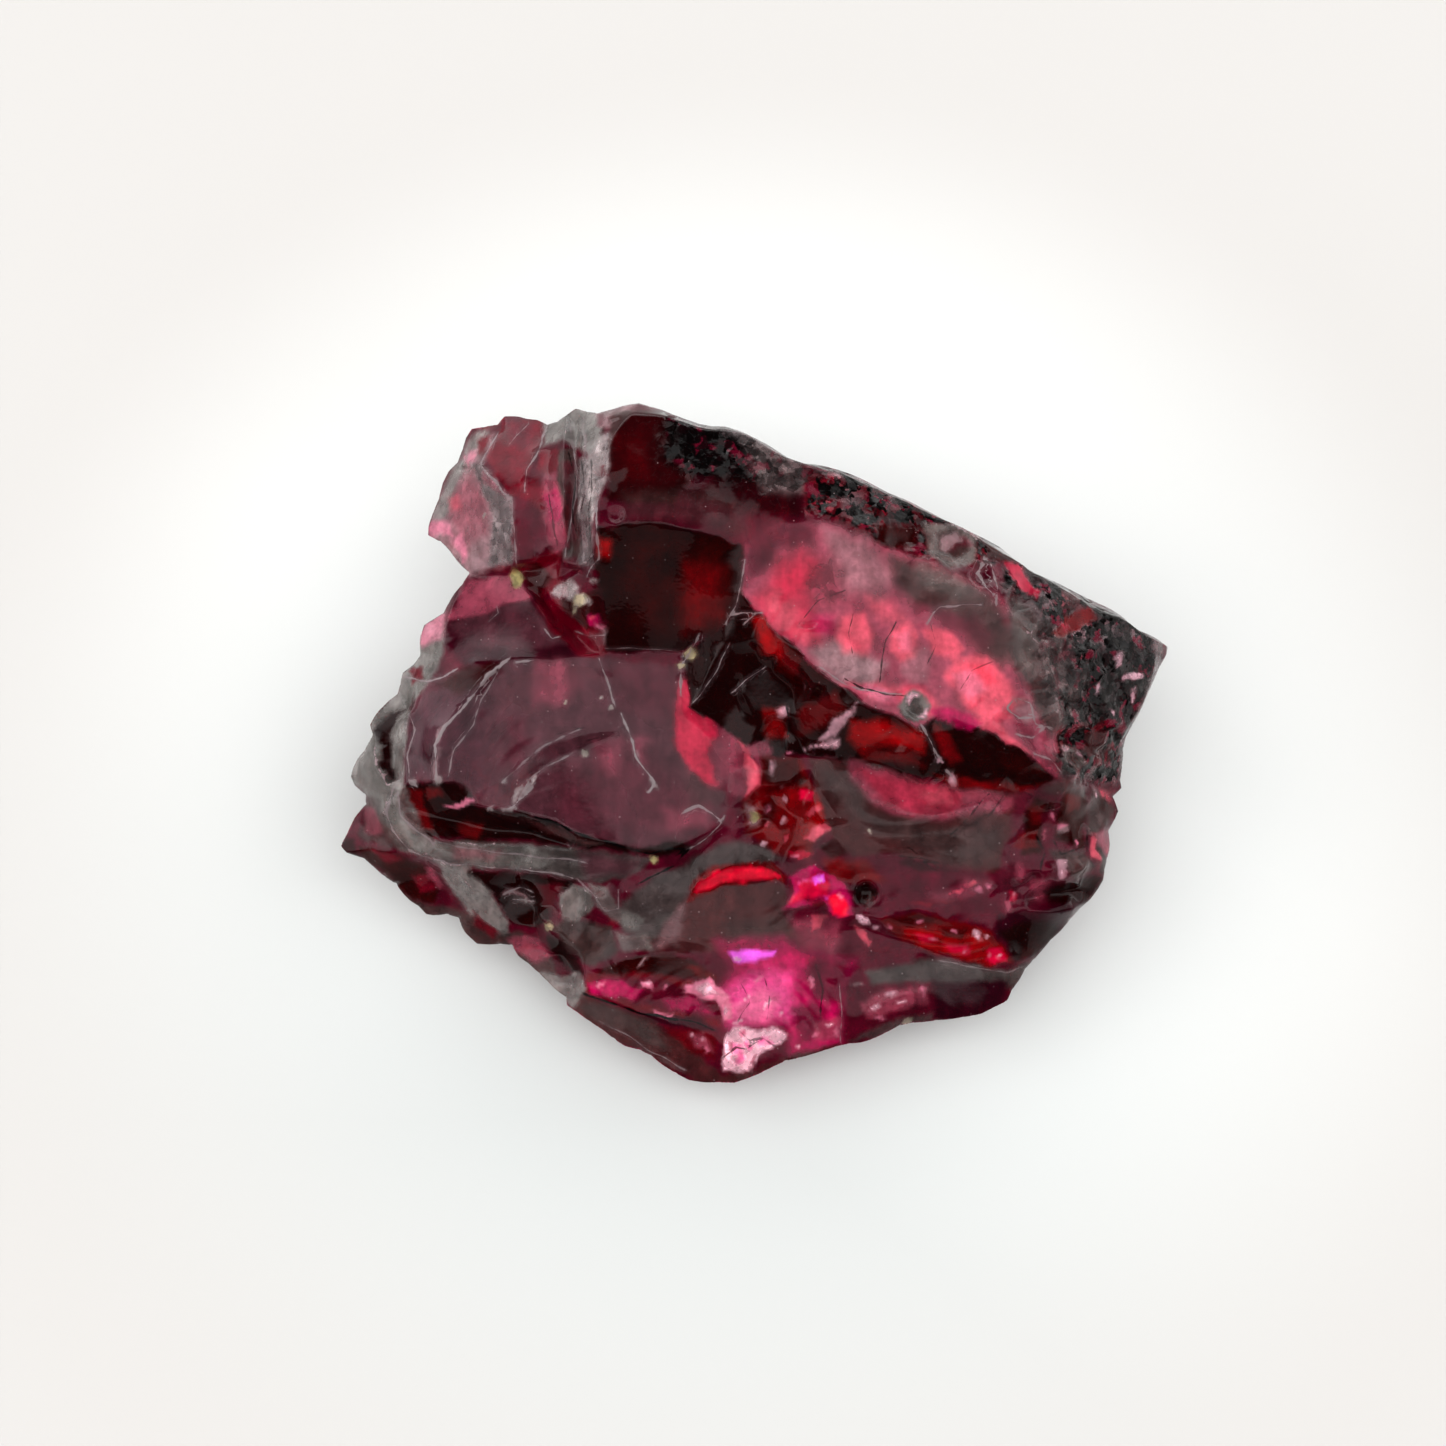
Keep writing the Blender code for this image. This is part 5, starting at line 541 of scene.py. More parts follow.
# Small painted glints of light, which are painted highlights, and dark nicks in the breaks: finish,
# across, up, half the length, half the width, turn in degrees.
GLINT_STRENGTH = 0.75
GLINTS = [
    ("chalk", -6.50, -1.30, 0.05, 0.26, -20), ("chalk", -6.28, -1.10, 0.05, 0.20, -25),
    ("chalk", -6.72, -1.50, 0.06, 0.26, -15), ("chalk", -6.95, -1.85, 0.20, 0.06, 5),
    ("chalk", -7.45, -1.85, 0.10, 0.08, 0), ("chalk", -7.10, -1.15, 0.10, 0.05, 30),
    ("chalk", -9.72, -1.12, 0.10, 0.10, 0), ("chalk", -8.95, -1.08, 0.12, 0.08, 0),
    ("mist_sheen", -9.05, -0.60, 0.06, 0.45, -5), ("mist_sheen", -8.95, 0.10, 0.06, 0.40, -18),
    ("chalk", -2.88, -1.15, 0.06, 0.14, 10), ("mist_sheen", -3.42, -0.30, 0.05, 0.16, 25),
    ("mist_sheen", -6.80, -4.32, 0.30, 0.07, -30), ("glass_sheen", -6.60, -4.58, 0.24, 0.05, -10),
    ("mist_sheen", -7.05, -4.28, 0.16, 0.05, 10), ("chalk", -4.78, 7.30, 0.04, 0.50, 4),
    ("chalk", -4.60, 6.60, 0.04, 0.45, 6), ("chalk", -4.95, 6.70, 0.03, 0.35, 4),
    ("chalk", -4.35, 8.10, 0.07, 0.30, 30), ("dark", -4.86, 6.95, 0.025, 0.32, 4),
    ("dark", -4.70, 6.50, 0.025, 0.30, 4), ("dark", -4.50, 7.35, 0.05, 0.12, 0),
    ("dark", -5.00, 5.90, 0.03, 0.28, 6), ("dark", -4.60, 5.50, 0.03, 0.25, 4),
    ("dark", -4.20, 8.20, 0.06, 0.08, 0), ("dark", -4.35, 8.75, 0.06, 0.08, 0),
    ("dark", -8.62, 8.02, 0.12, 0.05, 0), ("coral", -4.62, 3.52, 0.10, 0.05, 20),
    ("chalk", -4.55, 4.52, 0.12, 0.07, 0), ("blush", -4.40, 3.25, 0.16, 0.04, 150),
    ("orchid", -0.50, -8.92, 0.16, 0.08, 40), ("orchid", -0.20, -8.60, 0.12, 0.05, 100),
    ("orchid", 0.12, -8.42, 0.14, 0.05, 30), ("orchid", 0.42, -8.52, 0.10, 0.06, 140),
    ("rose", -0.72, -8.62, 0.05, 0.14, 10), ("rose", -0.10, -9.00, 0.14, 0.05, 60),
    ("rose", 0.30, -8.22, 0.12, 0.03, 10), ("magenta", -0.38, -8.30, 0.06, 0.10, 20),
    ("pearl", 0.80, -1.62, 0.09, 0.05, 60), ("pearl", 0.76, -2.20, 0.12, 0.05, 70),
    ("pearl", 0.20, -2.88, 0.07, 0.06, 0), ("pearl", 0.45, -0.60, 0.10, 0.05, 70),
    ("pearl", 0.42, -0.85, 0.08, 0.04, 50), ("blush", 0.95, -0.35, 0.08, 0.05, 20),
    ("haze_sheen", 1.25, -1.15, 0.12, 0.08, 40), ("blush", 0.30, -1.90, 0.10, 0.06, 80),
    ("blush", 1.10, -3.25, 0.10, 0.05, 10), ("coral", 0.90, -2.70, 0.12, 0.05, 60),
    ("coral", 0.35, -2.30, 0.09, 0.05, 30), ("pearl", 5.10, -0.48, 0.10, 0.05, 120),
    ("pearl", 5.50, -1.05, 0.16, 0.09, 120), ("haze_sheen", 5.40, -0.85, 0.12, 0.07, 60),
    ("blush", 6.30, -4.15, 0.12, 0.07, 20), ("blush", 6.60, -4.05, 0.07, 0.05, 0),
    ("pearl", 7.25, -4.32, 0.07, 0.05, 0), ("coral", 6.10, -4.00, 0.20, 0.05, 15),
    ("coral", 5.60, -4.20, 0.20, 0.04, 20), ("blush", 8.55, -2.35, 0.12, 0.07, 20),
    ("pearl", 8.62, -3.72, 0.06, 0.08, 0), ("blush", 9.05, -2.85, 0.10, 0.04, 120),
    ("blush", 8.30, -2.10, 0.05, 0.12, 10), ("rose", 8.10, -2.60, 0.05, 0.14, 0),
    ("mist_sheen", 8.90, -0.95, 0.20, 0.06, 30), ("mist_sheen", 9.60, -1.35, 0.16, 0.05, 110),
    ("pearl", 9.65, -1.55, 0.05, 0.06, 0), ("pearl", 8.75, -0.55, 0.07, 0.05, 30),
    ("pearl", 8.60, -0.20, 0.10, 0.06, 20), ("pearl", 9.05, -0.30, 0.12, 0.05, 150),
    ("blush", 4.60, -5.08, 0.12, 0.04, 0), ("blush", 5.60, -5.30, 0.14, 0.04, 160),
    ("pearl", 6.90, -6.10, 0.06, 0.05, 0), ("pearl", 6.60, -6.02, 0.05, 0.04, 0),
    ("blush", 5.90, -5.95, 0.10, 0.05, 170), ("blush", 5.00, -5.60, 0.10, 0.04, 30),
    ("pearl", 6.55, -5.45, 0.06, 0.05, 0), ("blush", 3.75, -5.25, 0.10, 0.04, 150),
    ("blush", 2.40, -4.35, 0.06, 0.10, 20), ("orchid", 1.30, -3.90, 0.20, 0.05, 25),
    ("pearl", 1.78, -3.85, 0.06, 0.04, 0), ("pearl", -0.50, -6.13, 0.14, 0.05, 0),
    ("pearl", 3.35, -7.55, 0.14, 0.05, 20), ("pearl", 3.80, -7.20, 0.20, 0.04, 20),
    ("pearl", 4.10, -7.35, 0.12, 0.04, 10), ("blush", 3.50, -7.80, 0.16, 0.06, 170),
    ("blush", 4.75, -7.10, 0.04, 0.16, 0), ("pearl", 2.10, -8.05, 0.08, 0.05, 30),
    ("blush", 2.30, -8.25, 0.06, 0.10, 0), ("blush", 1.70, -8.35, 0.08, 0.05, 40),
    ("pearl", 1.25, -8.65, 0.05, 0.05, 0), ("pearl", -0.85, -7.60, 0.06, 0.14, 10),
    ("pearl", -0.30, -7.20, 0.16, 0.03, 30), ("pearl", 0.30, -7.40, 0.14, 0.03, 60),
    ("pearl", 0.75, -7.70, 0.12, 0.04, 50), ("pearl", -0.50, -7.90, 0.12, 0.05, 20),
    ("blush", 0.10, -6.70, 0.16, 0.04, 40), ("pearl", -1.55, -8.45, 0.07, 0.05, 30),
    ("pearl", -1.85, -8.35, 0.05, 0.05, 0), ("blush", -1.40, -8.75, 0.08, 0.04, 100),
    ("pearl", -3.05, -6.82, 0.10, 0.04, 160), ("blush", -4.40, -6.90, 0.14, 0.03, 10),
    ("blush", -2.50, -6.90, 0.06, 0.04, 0), ("mist_sheen", -3.20, -6.25, 0.16, 0.03, 60),
    ("mist_sheen", 2.90, -6.90, 0.16, 0.04, 20), ("blush", 1.55, -6.80, 0.05, 0.16, 0),
]

# Bright broken edges on the upper side, chipped and with a painted highlight along them: strength,
# half the width, points of the line.
PALE_EDGES = [
    (1.0, 0.08, [(-7.0, 2.35), (-7.6, 1.9), (-8.1, 1.2), (-8.8, 0.4), (-9.05, -0.1), (-9.05, -1.0)]),
    (0.6, 0.04, [(-7.3, 2.0), (-7.8, 1.2), (-8.0, 0.5), (-8.5, -0.2), (-8.7, -0.9)]),
    (0.8, 0.05, [(-4.4, 2.3), (-4.2, 1.7), (-4.0, 1.1)]),
    (1.0, 0.06, [(-3.8, 0.8), (-3.55, 0.1), (-3.4, -0.4), (-3.0, -0.9), (-2.85, -1.15), (-3.05, -1.4)]),
    (0.5, 0.06, [(-5.0, 0.35), (-5.9, -0.05), (-6.6, -0.6), (-7.1, -1.1)]),
    (0.6, 0.04, [(-5.2, -0.3), (-5.9, -0.65), (-6.4, -1.0), (-6.6, -1.4)]),
    (1.0, 0.09, [(-6.3, -1.2), (-6.6, -1.5), (-6.9, -1.85), (-7.1, -1.9)]),
    (1.0, 0.08, [(-7.5, -1.9), (-7.4, -1.8)]),
    (0.8, 0.05, [(-6.8, 2.25), (-6.3, 2.3)]),
    (0.7, 0.05, [(-9.9, 0.8), (-9.7, 0.3), (-9.9, -0.4), (-9.8, -1.1)]),
    (1.0, 0.07, [(-9.75, -1.1), (-9.65, -1.2)]),
    (0.8, 0.05, [(-10.4, 1.9), (-9.4, 1.75), (-8.9, 1.9), (-8.5, 2.1)]),
    (0.8, 0.06, [(-10.1, -0.9), (-10.4, -1.4), (-10.6, -2.0), (-10.4, -2.5), (-9.9, -3.1),
        (-9.3, -3.3)]),
    (0.8, 0.05, [(-10.2, -1.4), (-10.1, -2.1), (-9.5, -2.6), (-9.2, -2.9)]),
    (0.6, 0.04, [(-9.2, -2.85), (-7.5, -3.05), (-6.0, -3.25), (-4.8, -3.4)]),
    (0.9, 0.05, [(-9.3, -3.3), (-8.6, -3.5), (-8.0, -3.5), (-6.0, -3.65), (-5.2, -3.85)]),
    (0.5, 0.04, [(-5.0, -3.9), (-4.6, -4.3), (-4.3, -4.8), (-3.9, -4.7), (-3.9, -4.2)]),
    (1.0, 0.05, [(-7.2, -4.35), (-6.7, -4.15), (-6.4, -4.3)]),
    (1.0, 0.05, [(-6.9, -4.55), (-6.4, -4.6)]),
    (0.8, 0.05, [(-8.0, 8.0), (-7.8, 8.4), (-7.5, 9.0)]),
    (0.8, 0.06, [(-7.95, 8.0), (-7.5, 7.5), (-7.1, 7.0)]),
    (0.7, 0.05, [(-7.0, 7.0), (-6.9, 6.2), (-6.85, 5.1)]),
    (0.8, 0.06, [(-6.0, 9.2), (-6.3, 8.3), (-6.6, 7.8), (-6.6, 7.2)]),
    (0.6, 0.04, [(-6.6, 9.2), (-7.1, 8.6)]),
    (0.7, 0.05, [(-4.9, 9.2), (-4.8, 8.0), (-4.9, 6.4), (-4.8, 5.0)]),
    (0.7, 0.05, [(-5.3, 9.0), (-5.1, 7.6), (-5.2, 6.2), (-5.4, 5.3)]),
    (0.8, 0.06, [(-4.2, 8.6), (-4.2, 7.8), (-4.4, 7.0), (-4.4, 6.0), (-4.4, 5.1), (-4.7, 4.7)]),
    (0.7, 0.04, [(-5.1, 3.15), (-4.7, 3.0), (-4.3, 3.0)]),
    (0.8, 0.04, [(-6.0, 3.2), (-5.8, 2.9), (-5.6, 2.95)]),
    (0.6, 0.03, [(-7.45, 3.9), (-7.4, 3.7), (-7.6, 3.5)]),
    (0.45, 0.03, [(-4.2, 2.62), (-3.0, 2.65), (-2.2, 2.55)]),
    (0.7, 0.05, [(-0.35, 5.0), (-0.45, 4.3), (-0.6, 3.8), (-0.85, 3.3)]),
    (0.9, 0.05, [(-0.75, 3.5), (-0.4, 3.6), (0.1, 3.6)]),
    (0.8, 0.04, [(-0.35, 3.3), (-0.15, 3.5)]),
    (0.7, 0.04, [(-1.75, 1.15), (-1.4, 1.6), (-1.05, 2.1), (-0.8, 2.7)]),
    (0.9, 0.05, [(-0.7, 1.4), (-0.3, 1.75), (0.2, 2.08)]),
    (0.8, 0.07, [(-2.1, 1.4), (-2.1, 2.2), (-1.85, 2.6), (-1.6, 3.0)]),
    (0.8, 0.05, [(1.7, 2.05), (2.4, 1.6), (2.9, 1.45), (3.9, 1.35)]),
    (0.9, 0.06, [(4.5, 0.45), (4.9, -0.15), (5.1, -0.45)]),
    (0.9, 0.09, [(5.3, -0.8), (5.55, -1.1)]),
    (0.7, 0.05, [(4.7, 3.3), (5.0, 3.7), (5.6, 3.8), (6.2, 3.8)]),
    (1.0, 0.10, [(6.3, 5.1), (6.1, 4.7), (6.3, 4.3), (6.5, 4.1)]),
    (0.8, 0.05, [(6.45, 4.9), (6.6, 4.3), (6.6, 3.8)]),
    (0.9, 0.05, [(7.0, 1.1), (6.85, 0.9), (7.2, 0.65), (7.6, 0.7)]),
    (0.8, 0.05, [(7.1, 1.2), (7.5, 1.1), (7.7, 0.5), (8.1, 0.4)]),
    (0.7, 0.06, [(7.2, 0.2), (7.6, 0.1), (7.9, 0.4)]),
    (0.6, 0.05, [(7.7, -0.3), (8.1, -0.5), (8.4, -0.8)]),
    (0.7, 0.05, [(-1.9, -3.0), (-1.4, -2.7), (-1.0, -2.3), (-0.9, -2.1)]),
    (0.8, 0.06, [(-2.1, -2.0), (-1.6, -1.8), (-1.2, -2.0), (-1.0, -2.2)]),
    (0.5, 0.04, [(2.4, -6.9), (2.4, -7.6), (2.45, -8.5)]),
    (0.5, 0.05, [(5.2, -6.2), (6.4, -6.45), (7.2, -6.55), (7.9, -6.3)]),
    (0.5, 0.04, [(-4.4, -8.0), (-3.6, -8.4), (-3.0, -8.8), (-2.0, -9.3)]),
]

# Dark cracks on the upper side: strength, half the width, points of the line.
DARK_CRACKS = [
    (0.8, 0.05, [(-5.35, 8.2), (-5.15, 7.4), (-5.2, 6.6), (-5.05, 5.9)]),
    (0.7, 0.04, [(-4.95, 8.0), (-4.85, 7.2), (-4.9, 6.2), (-4.85, 5.4)]),
    (0.7, 0.04, [(-4.65, 7.9), (-4.6, 7.0), (-4.65, 6.1), (-4.55, 5.2)]),
    (0.6, 0.04, [(-5.9, 7.0), (-5.75, 6.2), (-5.6, 5.5)]),
    (0.6, 0.03, [(-5.05, 9.1), (-4.9, 8.7), (-4.95, 8.3)]),
    (0.8, 0.04, [(2.4, 1.75), (2.9, 1.5), (3.5, 1.35), (4.0, 1.3)]),
    (0.7, 0.03, [(3.35, 1.7), (3.4, 2.3), (3.55, 2.8), (3.8, 3.3)]),
    (0.6, 0.03, [(2.6, 2.4), (2.5, 3.0), (2.65, 3.5)]),
    (0.5, 0.03, [(4.7, 2.2), (4.9, 2.7), (4.8, 3.2)]),
    (0.5, 0.03, [(5.6, 1.5), (5.9, 2.0), (6.4, 2.2)]),
    (0.6, 0.03, [(1.2, 3.3), (1.7, 3.9), (2.4, 4.2)]),
    (0.9, 0.05, [(0.85, 1.0), (0.95, 0.4), (0.85, -0.2)]),
    (0.8, 0.05, [(6.5, -1.5), (6.1, -2.0), (5.5, -2.6)]),
    (0.7, 0.03, [(6.9, -1.5), (6.6, -2.0), (6.2, -2.4)]),
    (0.8, 0.04, [(4.1, -3.2), (4.5, -3.25), (5.0, -3.55), (5.6, -3.65)]),
    (0.7, 0.03, [(4.3, -3.0), (4.7, -3.3), (5.1, -3.35)]),
    (1.0, 0.06, [(-3.6, -4.1), (-3.0, -3.8), (-2.3, -3.5), (-1.9, -3.0)]),
    (1.0, 0.06, [(-4.9, -7.15), (-3.2, -7.7), (-2.0, -7.85), (-1.2, -8.1)]),
    (1.0, 0.07, [(-6.2, -2.05), (-5.0, -2.5), (-4.0, -2.85), (-3.0, -3.1), (-2.0, -3.0)]),
    (0.6, 0.03, [(-4.7, 0.05), (-4.2, 0.2), (-3.8, 0.4)]),
    (0.6, 0.03, [(-5.6, 0.25), (-4.9, 0.4)]),
    (0.8, 0.05, [(-0.9, -8.9), (-0.6, -8.6), (-0.3, -8.7), (0.1, -8.5)]),
    (0.6, 0.04, [(-0.5, -8.2), (-0.2, -8.5), (0.2, -8.4), (0.5, -8.6)]),
    (0.6, 0.03, [(0.2, -6.6), (0.4, -7.2), (0.3, -7.8)]),
    (0.5, 0.03, [(-0.4, -6.8), (-0.2, -7.4), (-0.5, -7.9)]),
    (0.7, 0.04, [(1.7, -6.3), (1.9, -7.0), (1.8, -7.8)]),
    (0.8, 0.04, [(-8.0, -1.8), (-7.2, -2.2), (-6.4, -2.5), (-5.4, -2.9)]),
    (0.8, 0.05, [(7.9, -2.7), (8.1, -3.1), (8.0, -3.6)]),
    (0.8, 0.05, [(8.4, -2.8), (8.6, -3.2), (9.3, -3.0)]),
    (0.7, 0.05, [(9.4, -2.4), (9.4, -3.2), (9.7, -3.7)]),
]

# Fine ripples of the break: centre across and up, crest to crest, height, outline of the patch.
RIPPLES = [
    (4.7, 1.2, 0.42, 0.007, [(1.6, -0.7), (4.0, -1.0), (7.4, -1.5), (6.9, -3.4), (4.0, -3.0),
        (2.4, -2.8)]),
    (-0.4, -3.2, 0.36, 0.006, [(-1.8, -4.3), (0.8, -4.1), (1.2, -5.4), (-0.5, -5.9), (-3.0, -5.9)]),
    (-0.6, -9.6, 0.33, 0.012, [(-4.8, -6.8), (-0.5, -6.3), (2.5, -6.3), (2.4, -8.4), (-0.8, -8.1)]),
    (-4.6, -3.8, 0.55, 0.010, [(-8.6, 1.2), (-6.2, 0.8), (-5.6, -1.6), (-7.8, -1.6), (-8.6, -0.8)]),
    (6.6, 4.0, 0.60, 0.010, [(1.0, 4.8), (3.2, 4.6), (6.2, 3.2), (7.0, 1.4), (4.6, 1.0), (1.6, 2.4)]),
    (5.4, -2.6, 0.30, 0.020, [(3.5, -5.0), (5.4, -5.0), (7.3, -6.2), (6.4, -6.4), (4.2, -5.7)]),
    (-9.8, 5.2, 0.40, 0.010, [(-9.2, 6.4), (-8.0, 7.8), (-7.1, 6.9), (-7.0, 5.2), (-8.4, 5.0)]),
    (-6.0, 1.0, 0.50, 0.018, [(-9.0, -2.9), (-4.8, -3.1), (-4.0, -4.0), (-8.0, -3.5)]),
]

# Small moves of the outline: across, up, reach, shift across, shift up.
NUDGES = [
    (-9.0, 7.6, 1.0, -0.14, 0.14),
    (-8.2, 8.9, 0.9, -0.15, 0.26),
    (-7.4, 9.2, 0.9, -0.05, 0.26),
    (-9.6, 6.3, 0.7, -0.14, 0.00),
    (-10.5, 1.3, 0.9, 0.50, -0.20),
    (-9.9, 2.4, 0.8, 0.24, -0.08),
    (1.2, 8.3, 1.5, -0.04, -0.20),
    (-1.5, 9.2, 1.3, -0.02, -0.14),
    (-4.4, 9.6, 1.0, 0.00, -0.18),
    (10.9, 0.2, 1.0, -0.16, 0.00),
    (11.8, 2.9, 0.8, 0.10, 0.02),
    (-11.2, -0.8, 0.8, -0.18, 0.00),
    (-11.8, -2.8, 0.8, -0.14, -0.10),
    (-10.6, -4.0, 1.0, -0.05, -0.16),
    (-9.2, -4.8, 0.9, -0.05, -0.14),
    (-5.8, -6.8, 0.9, -0.10, -0.08),
    (-3.8, -8.6, 1.1, -0.06, -0.12),
    (-2.0, -9.8, 1.1, 0.00, -0.20),
    (2.4, -9.0, 1.3, 0.00, 0.14),
    (4.8, -8.2, 1.0, 0.00, 0.12),
]

# Pale grains of dust and rock in the hollows: across, up, radius, yellow.
PALE_GRAIN = np.array((0.48, 0.42, 0.40, 0.5, 0.3, 0.0))
YELLOWER = np.array((0.0, 0.0, -0.20, 0.0, 0.0, 0.0))
GRAINS = [
    (-4.95, 4.0, 0.16, 0.5), (-5.1, 3.75, 0.08, 0.5), (-6.9, 4.75, 0.20, 1.0),
    (-6.85, 4.55, 0.14, 1.0), (-1.85, 2.5, 0.17, 0.7), (-2.1, 2.15, 0.10, 0.6),
    (-0.05, -2.1, 0.12, 0.9), (-5.88, -5.28, 0.13, 0.6), (-2.85, -3.3, 0.12, 0.9),
    (-4.35, 1.25, 0.06, 0.0), (-4.1, 0.95, 0.06, 0.0), (-7.85, 6.6, 0.07, 0.0),
    (4.3, -7.95, 0.10, 0.3), (3.2, -2.45, 0.07, 0.2), (-5.4, 1.15, 0.04, 0.2),
    (-4.9, -0.25, 0.10, 0.1),
]

# Round chips on the upper side: across, up, radius, depth.
CHIPS = [
    (4.3, 1.0, 0.42, 0.16), (5.45, 5.4, 0.62, 0.14), (6.2, 4.6, 0.35, 0.12),
    (7.25, 0.95, 0.32, 0.10), (8.9, -0.45, 0.34, 0.12), (3.1, -4.25, 0.36, 0.22),
    (5.4, 3.3, 0.8, 0.05), (-8.4, 8.0, 0.16, 0.10), (7.3, -4.5, 0.28, 0.10),
    (8.55, -3.6, 0.26, 0.10), (-4.4, 7.5, 0.22, 0.12), (-3.9, 6.3, 0.28, 0.12),
]

# What lies on the finishes everywhere. The pale edge colours are partly wear and partly a painted
# highlight, with a painted sheen beside the chipped lines.
WORN_AND_HIGHLIT_EDGE = (0.40, 0.30, 0.32, 1.0)
CHIPPED_LINE_AND_HIGHLIGHT = (0.36, 0.30, 0.31, 1.0)
PAINTED_SHEEN_BESIDE_CHIPS = (0.26, 0.19, 0.21, 1.0)
CRACK = (0.004, 0.0004, 0.0008, 1.0)
CLEAR_RED_GRAIN = (0.24, 0.004, 0.040, 1.0)
BLACK_PIT = (0.002, 0.0003, 0.0005, 1.0)
DUST = (0.40, 0.33, 0.33, 1.0)
SPECK = (0.44, 0.36, 0.37, 1.0)

# How light passes through the stone and glances off it.
CLEARNESS = 0.55
PAINITE_IOR = 1.75
GLANCE = (0.176, 0.176, 0.176, 1.0)
DEPTH_COLOUR = (0.965, 0.03, 0.38, 1.0)
DEPTH_DENSITY = 1130.0

# How far the dark window leans forward and the cliff back, beyond their own shape: rise per length.
WINDOW_SLOPE, CLIFF_SLOPE = 0.27, -0.38

# The pale floor, with painted light and shade: a painted halo of light near the stone, painted light
# behind it and on its right, and a painted shadow in front of it.
FLOOR_PAINTED_SHADOW_IN_FRONT = (0.42, 0.43, 0.425, 1.0)
FLOOR_PAINTED_LIGHT_BEHIND = (0.505, 0.515, 0.51, 1.0)
FLOOR_FAR_OFF = (0.405, 0.395, 0.385, 1.0)


def on_the_drawing(points):
    """Where points of the stone fall on the leaning plane: across and up, in millimetres."""
    across = points[:, 0] - ACROSS_SHIFT
    from_depth = (points[:, 1] - BACK_SHIFT) * math.sin(LEAN)
    from_height = (points[:, 2] - MIDDLE_HEIGHT) * math.cos(LEAN)
    return np.stack((across, from_depth + from_height), axis=1)


def distance_to_spot(places, across, up):
    """How far each place is from one spot."""
    return np.hypot(places[:, 0] - across, places[:, 1] - up)


def smooth_step(value, start, end):
    """0 before start, 1 past end, and an S-shaped ramp in between."""
    share = np.clip((value - start) / (end - start), 0.0, 1.0)
    return share * share * (3.0 - 2.0 * share)


def distance_to_line(places, a, b):
    """How far each place is from the stretch between a and b."""
    along = b - a
    share = np.clip((places - a) @ along / max(along @ along, 1e-12), 0.0, 1.0)
    return np.linalg.norm(places - a - share[:, None] * along, axis=1)


def patch_cover(places, corners, softness):
    """How much a patch covers each place: 1 inside its outline, 0 outside, with a soft border."""
    corners = np.array(corners)
    nearest = np.full(len(places), np.inf)
    inside = np.zeros(len(places), dtype=bool)
    for a, b in zip(corners, np.roll(corners, -1, axis=0)):
        nearest = np.minimum(nearest, distance_to_line(places, a, b))
        crosses = (a[1] > places[:, 1]) != (b[1] > places[:, 1])
        if a[1] != b[1]:
            at = a[0] + (places[:, 1] - a[1]) * (b[0] - a[0]) / (b[1] - a[1])
            inside ^= crosses & (places[:, 0] < at)
    return smooth_step(np.where(inside, nearest, -nearest), -softness, softness)


def deselect_all():
    bpy.ops.object.select_all(action="DESELECT")


def points_of(mesh):
    """The mesh's points in millimetres."""
    flat = np.empty(len(mesh.vertices) * 3)
    mesh.vertices.foreach_get("co", flat)
    return flat.reshape(-1, 3) / MM


def point_normals(mesh):
    flat = np.empty(len(mesh.vertices) * 3, dtype=np.float32)
    mesh.vertices.foreach_get("normal", flat)
    return flat.reshape(-1, 3).astype(float)


def face_normals(mesh):
    flat = np.empty(len(mesh.polygons) * 3, dtype=np.float32)
    mesh.polygons.foreach_get("normal", flat)
    return flat.reshape(-1, 3).astype(float)


def select_faces(mesh, chosen):
    mesh.polygons.foreach_set("select", np.zeros(len(mesh.polygons), dtype=bool))
    mesh.edges.foreach_set("select", np.zeros(len(mesh.edges), dtype=bool))
    mesh.vertices.foreach_set("select", np.zeros(len(mesh.vertices), dtype=bool))
    mesh.polygons.foreach_set("select", chosen)


def edge_ends(mesh):
    flat = np.empty(len(mesh.edges) * 2, dtype=np.int32)
    mesh.edges.foreach_get("vertices", flat)
    return flat.reshape(-1, 2)


def sharp_points(mesh):
    """Which points lie on an edge marked sharp."""
    sharp = np.zeros(len(mesh.edges), dtype=bool)
    mesh.edges.foreach_get("use_edge_sharp", sharp)
    on_edge = np.zeros(len(mesh.vertices), dtype=bool)
    on_edge[edge_ends(mesh)[sharp].reshape(-1)] = True
    return on_edge


def put_in_group(stone, name, weights):
    """A vertex group from a weight for each point, in tenths."""
    group = stone.vertex_groups.new(name=name)
    tenths = np.rint(weights * 10).astype(int)
    for tenth in range(1, 11):
        group.add(np.flatnonzero(tenths == tenth).tolist(), tenth / 10, "REPLACE")


def apply_modifier(stone, name, kind, **settings):
    modifier = stone.modifiers.new(name, kind)
    for setting, value in settings.items():
        setattr(modifier, setting, value)
    bpy.ops.object.modifier_apply(modifier=name)


def copy_of_the_solid():
    """The stone's plain solid as a mesh of its own, with its loose triangles joined."""
    deselect_all()
    stone = bpy.data.objects.new("painite_stone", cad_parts["crystal"].data.copy())
    bpy.context.collection.objects.link(stone)
    stone.select_set(True)
    bpy.context.view_layer.objects.active = stone
    bpy.ops.object.mode_set(mode="EDIT")
    bpy.ops.mesh.select_all(action="SELECT")
    bpy.ops.mesh.remove_doubles(threshold=1e-6)
    bpy.ops.mesh.select_all(action="DESELECT")
    bpy.ops.mesh.select_mode(type="EDGE")
    bpy.ops.mesh.edges_select_sharp(sharpness=RIDGE_ANGLE)
    bpy.ops.mesh.mark_sharp()
    bpy.ops.mesh.select_mode(type="FACE")
    bpy.ops.object.mode_set(mode="OBJECT")
    return stone


